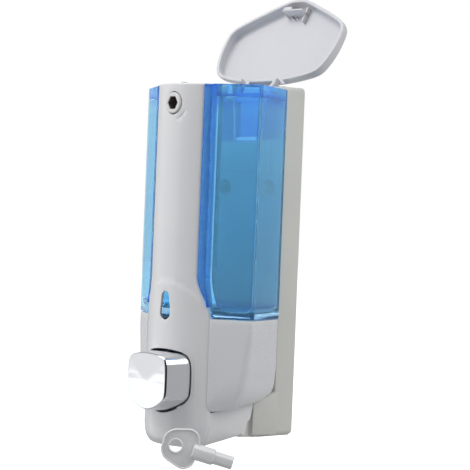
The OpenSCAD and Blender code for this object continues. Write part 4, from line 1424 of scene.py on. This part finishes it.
def softBox(name, azimuth, elevation, distance, width, height, power, colour=(1, 1, 1)):
    a, e = math.radians(azimuth), math.radians(elevation)
    out = Vector((math.sin(a) * math.cos(e), -math.cos(a) * math.cos(e), math.sin(e)))
    data = bpy.data.lights.new(name, "AREA")
    data.shape, data.size, data.size_y = "RECTANGLE", width, height
    data.energy, data.color = power, colour
    lamp = bpy.data.objects.new(name, data)
    lamp.location = out * distance + Vector((0, -0.035, 0.01))
    lamp.rotation_mode = "QUATERNION"
    lamp.rotation_quaternion = out.to_track_quat("Z", "Y")
    bpy.context.scene.collection.objects.link(lamp)


softBox("leftLow", -52, -24, 1.2, 1.4, 0.7, 2.4)
softBox("leftHigh", -52, 14, 1.25, 1.4, 1.0, 2.0)
softBox("keyHigh", -30, 55, 1.3, 0.9, 0.8, 9.0)
softBox("rightHigh", 112, 30, 1.3, 0.9, 0.8, 5.5)
softBox("topBox", 30, 82, 1.3, 0.9, 0.9, 1.0)


def makeWorld():
    world = bpy.data.worlds.new("studio")
    bpy.context.scene.world = world
    world.use_nodes = True
    tree = world.node_tree
    tree.nodes.clear()
    place = node(tree, "ShaderNodeTexCoord").outputs["Generated"]
    facing = node(tree, "ShaderNodeVectorMath", [(place, 0)], operation="DOT_PRODUCT")
    facing.inputs[1].default_value = towardsCamera
    dim = node(tree, "ShaderNodeMapRange", [(facing.outputs["Value"], "Value")],
               interpolation_type="SMOOTHSTEP")
    dim.inputs["From Min"].default_value = 0.40
    dim.inputs["From Max"].default_value = 0.86
    dim.inputs["To Min"].default_value = 0.44
    dim.inputs["To Max"].default_value = 0.02
    path = node(tree, "ShaderNodeLightPath")
    seen = mathNode(tree, "MAXIMUM", path.outputs["Is Camera Ray"], path.outputs["Is Transmission Ray"])
    level = node(tree, "ShaderNodeMix", [(path.outputs["Is Glossy Ray"], 0), (dim.outputs[0], 3)])
    level.inputs[2].default_value = 0.44
    fill = node(tree, "ShaderNodeBackground", [(level.outputs[0], "Strength")])
    plain = node(tree, "ShaderNodeBackground")
    plain.inputs["Strength"].default_value = 1.0
    fill.inputs["Color"].default_value = (0.98, 0.99, 1.0, 1.0)
    plain.inputs["Color"].default_value = (1.0, 1.0, 1.0, 1.0)
    both = node(tree, "ShaderNodeMixShader", [(seen, 0), (fill.outputs[0], 1), (plain.outputs[0], 2)])
    node(tree, "ShaderNodeOutputWorld", [(both.outputs[0], "Surface")])


makeWorld()


def makeFloor():
    low = cadLow.z - 0.06
    bm = bmesh.new()
    size = 6.0
    bm.faces.new([bm.verts.new((x * size, y * size, low)) for x, y in ((-1, -1), (1, -1), (1, 1), (-1, 1))])
    floor = newObject("floor", bm, outward=False)
    m, tree, shader = startMaterial("floorPale")
    stain = useGroup(tree, softStain, Size=3.0)
    tree.links.new(mixColour(tree, stain.outputs["Mask"], (0.93, 0.93, 0.93), (0.91, 0.91, 0.91)),
                   shader.inputs["Base Color"])
    shader.inputs["Roughness"].default_value = 0.9
    shader.inputs["Emission Color"].default_value = (1, 1, 1, 1)
    shader.inputs["Emission Strength"].default_value = 0.8
    floor.data.materials.append(m)
    floor.visible_diffuse = floor.visible_glossy = False


makeFloor()
bpy.context.scene.view_settings.view_transform = "Standard"
bpy.context.view_layer.update()
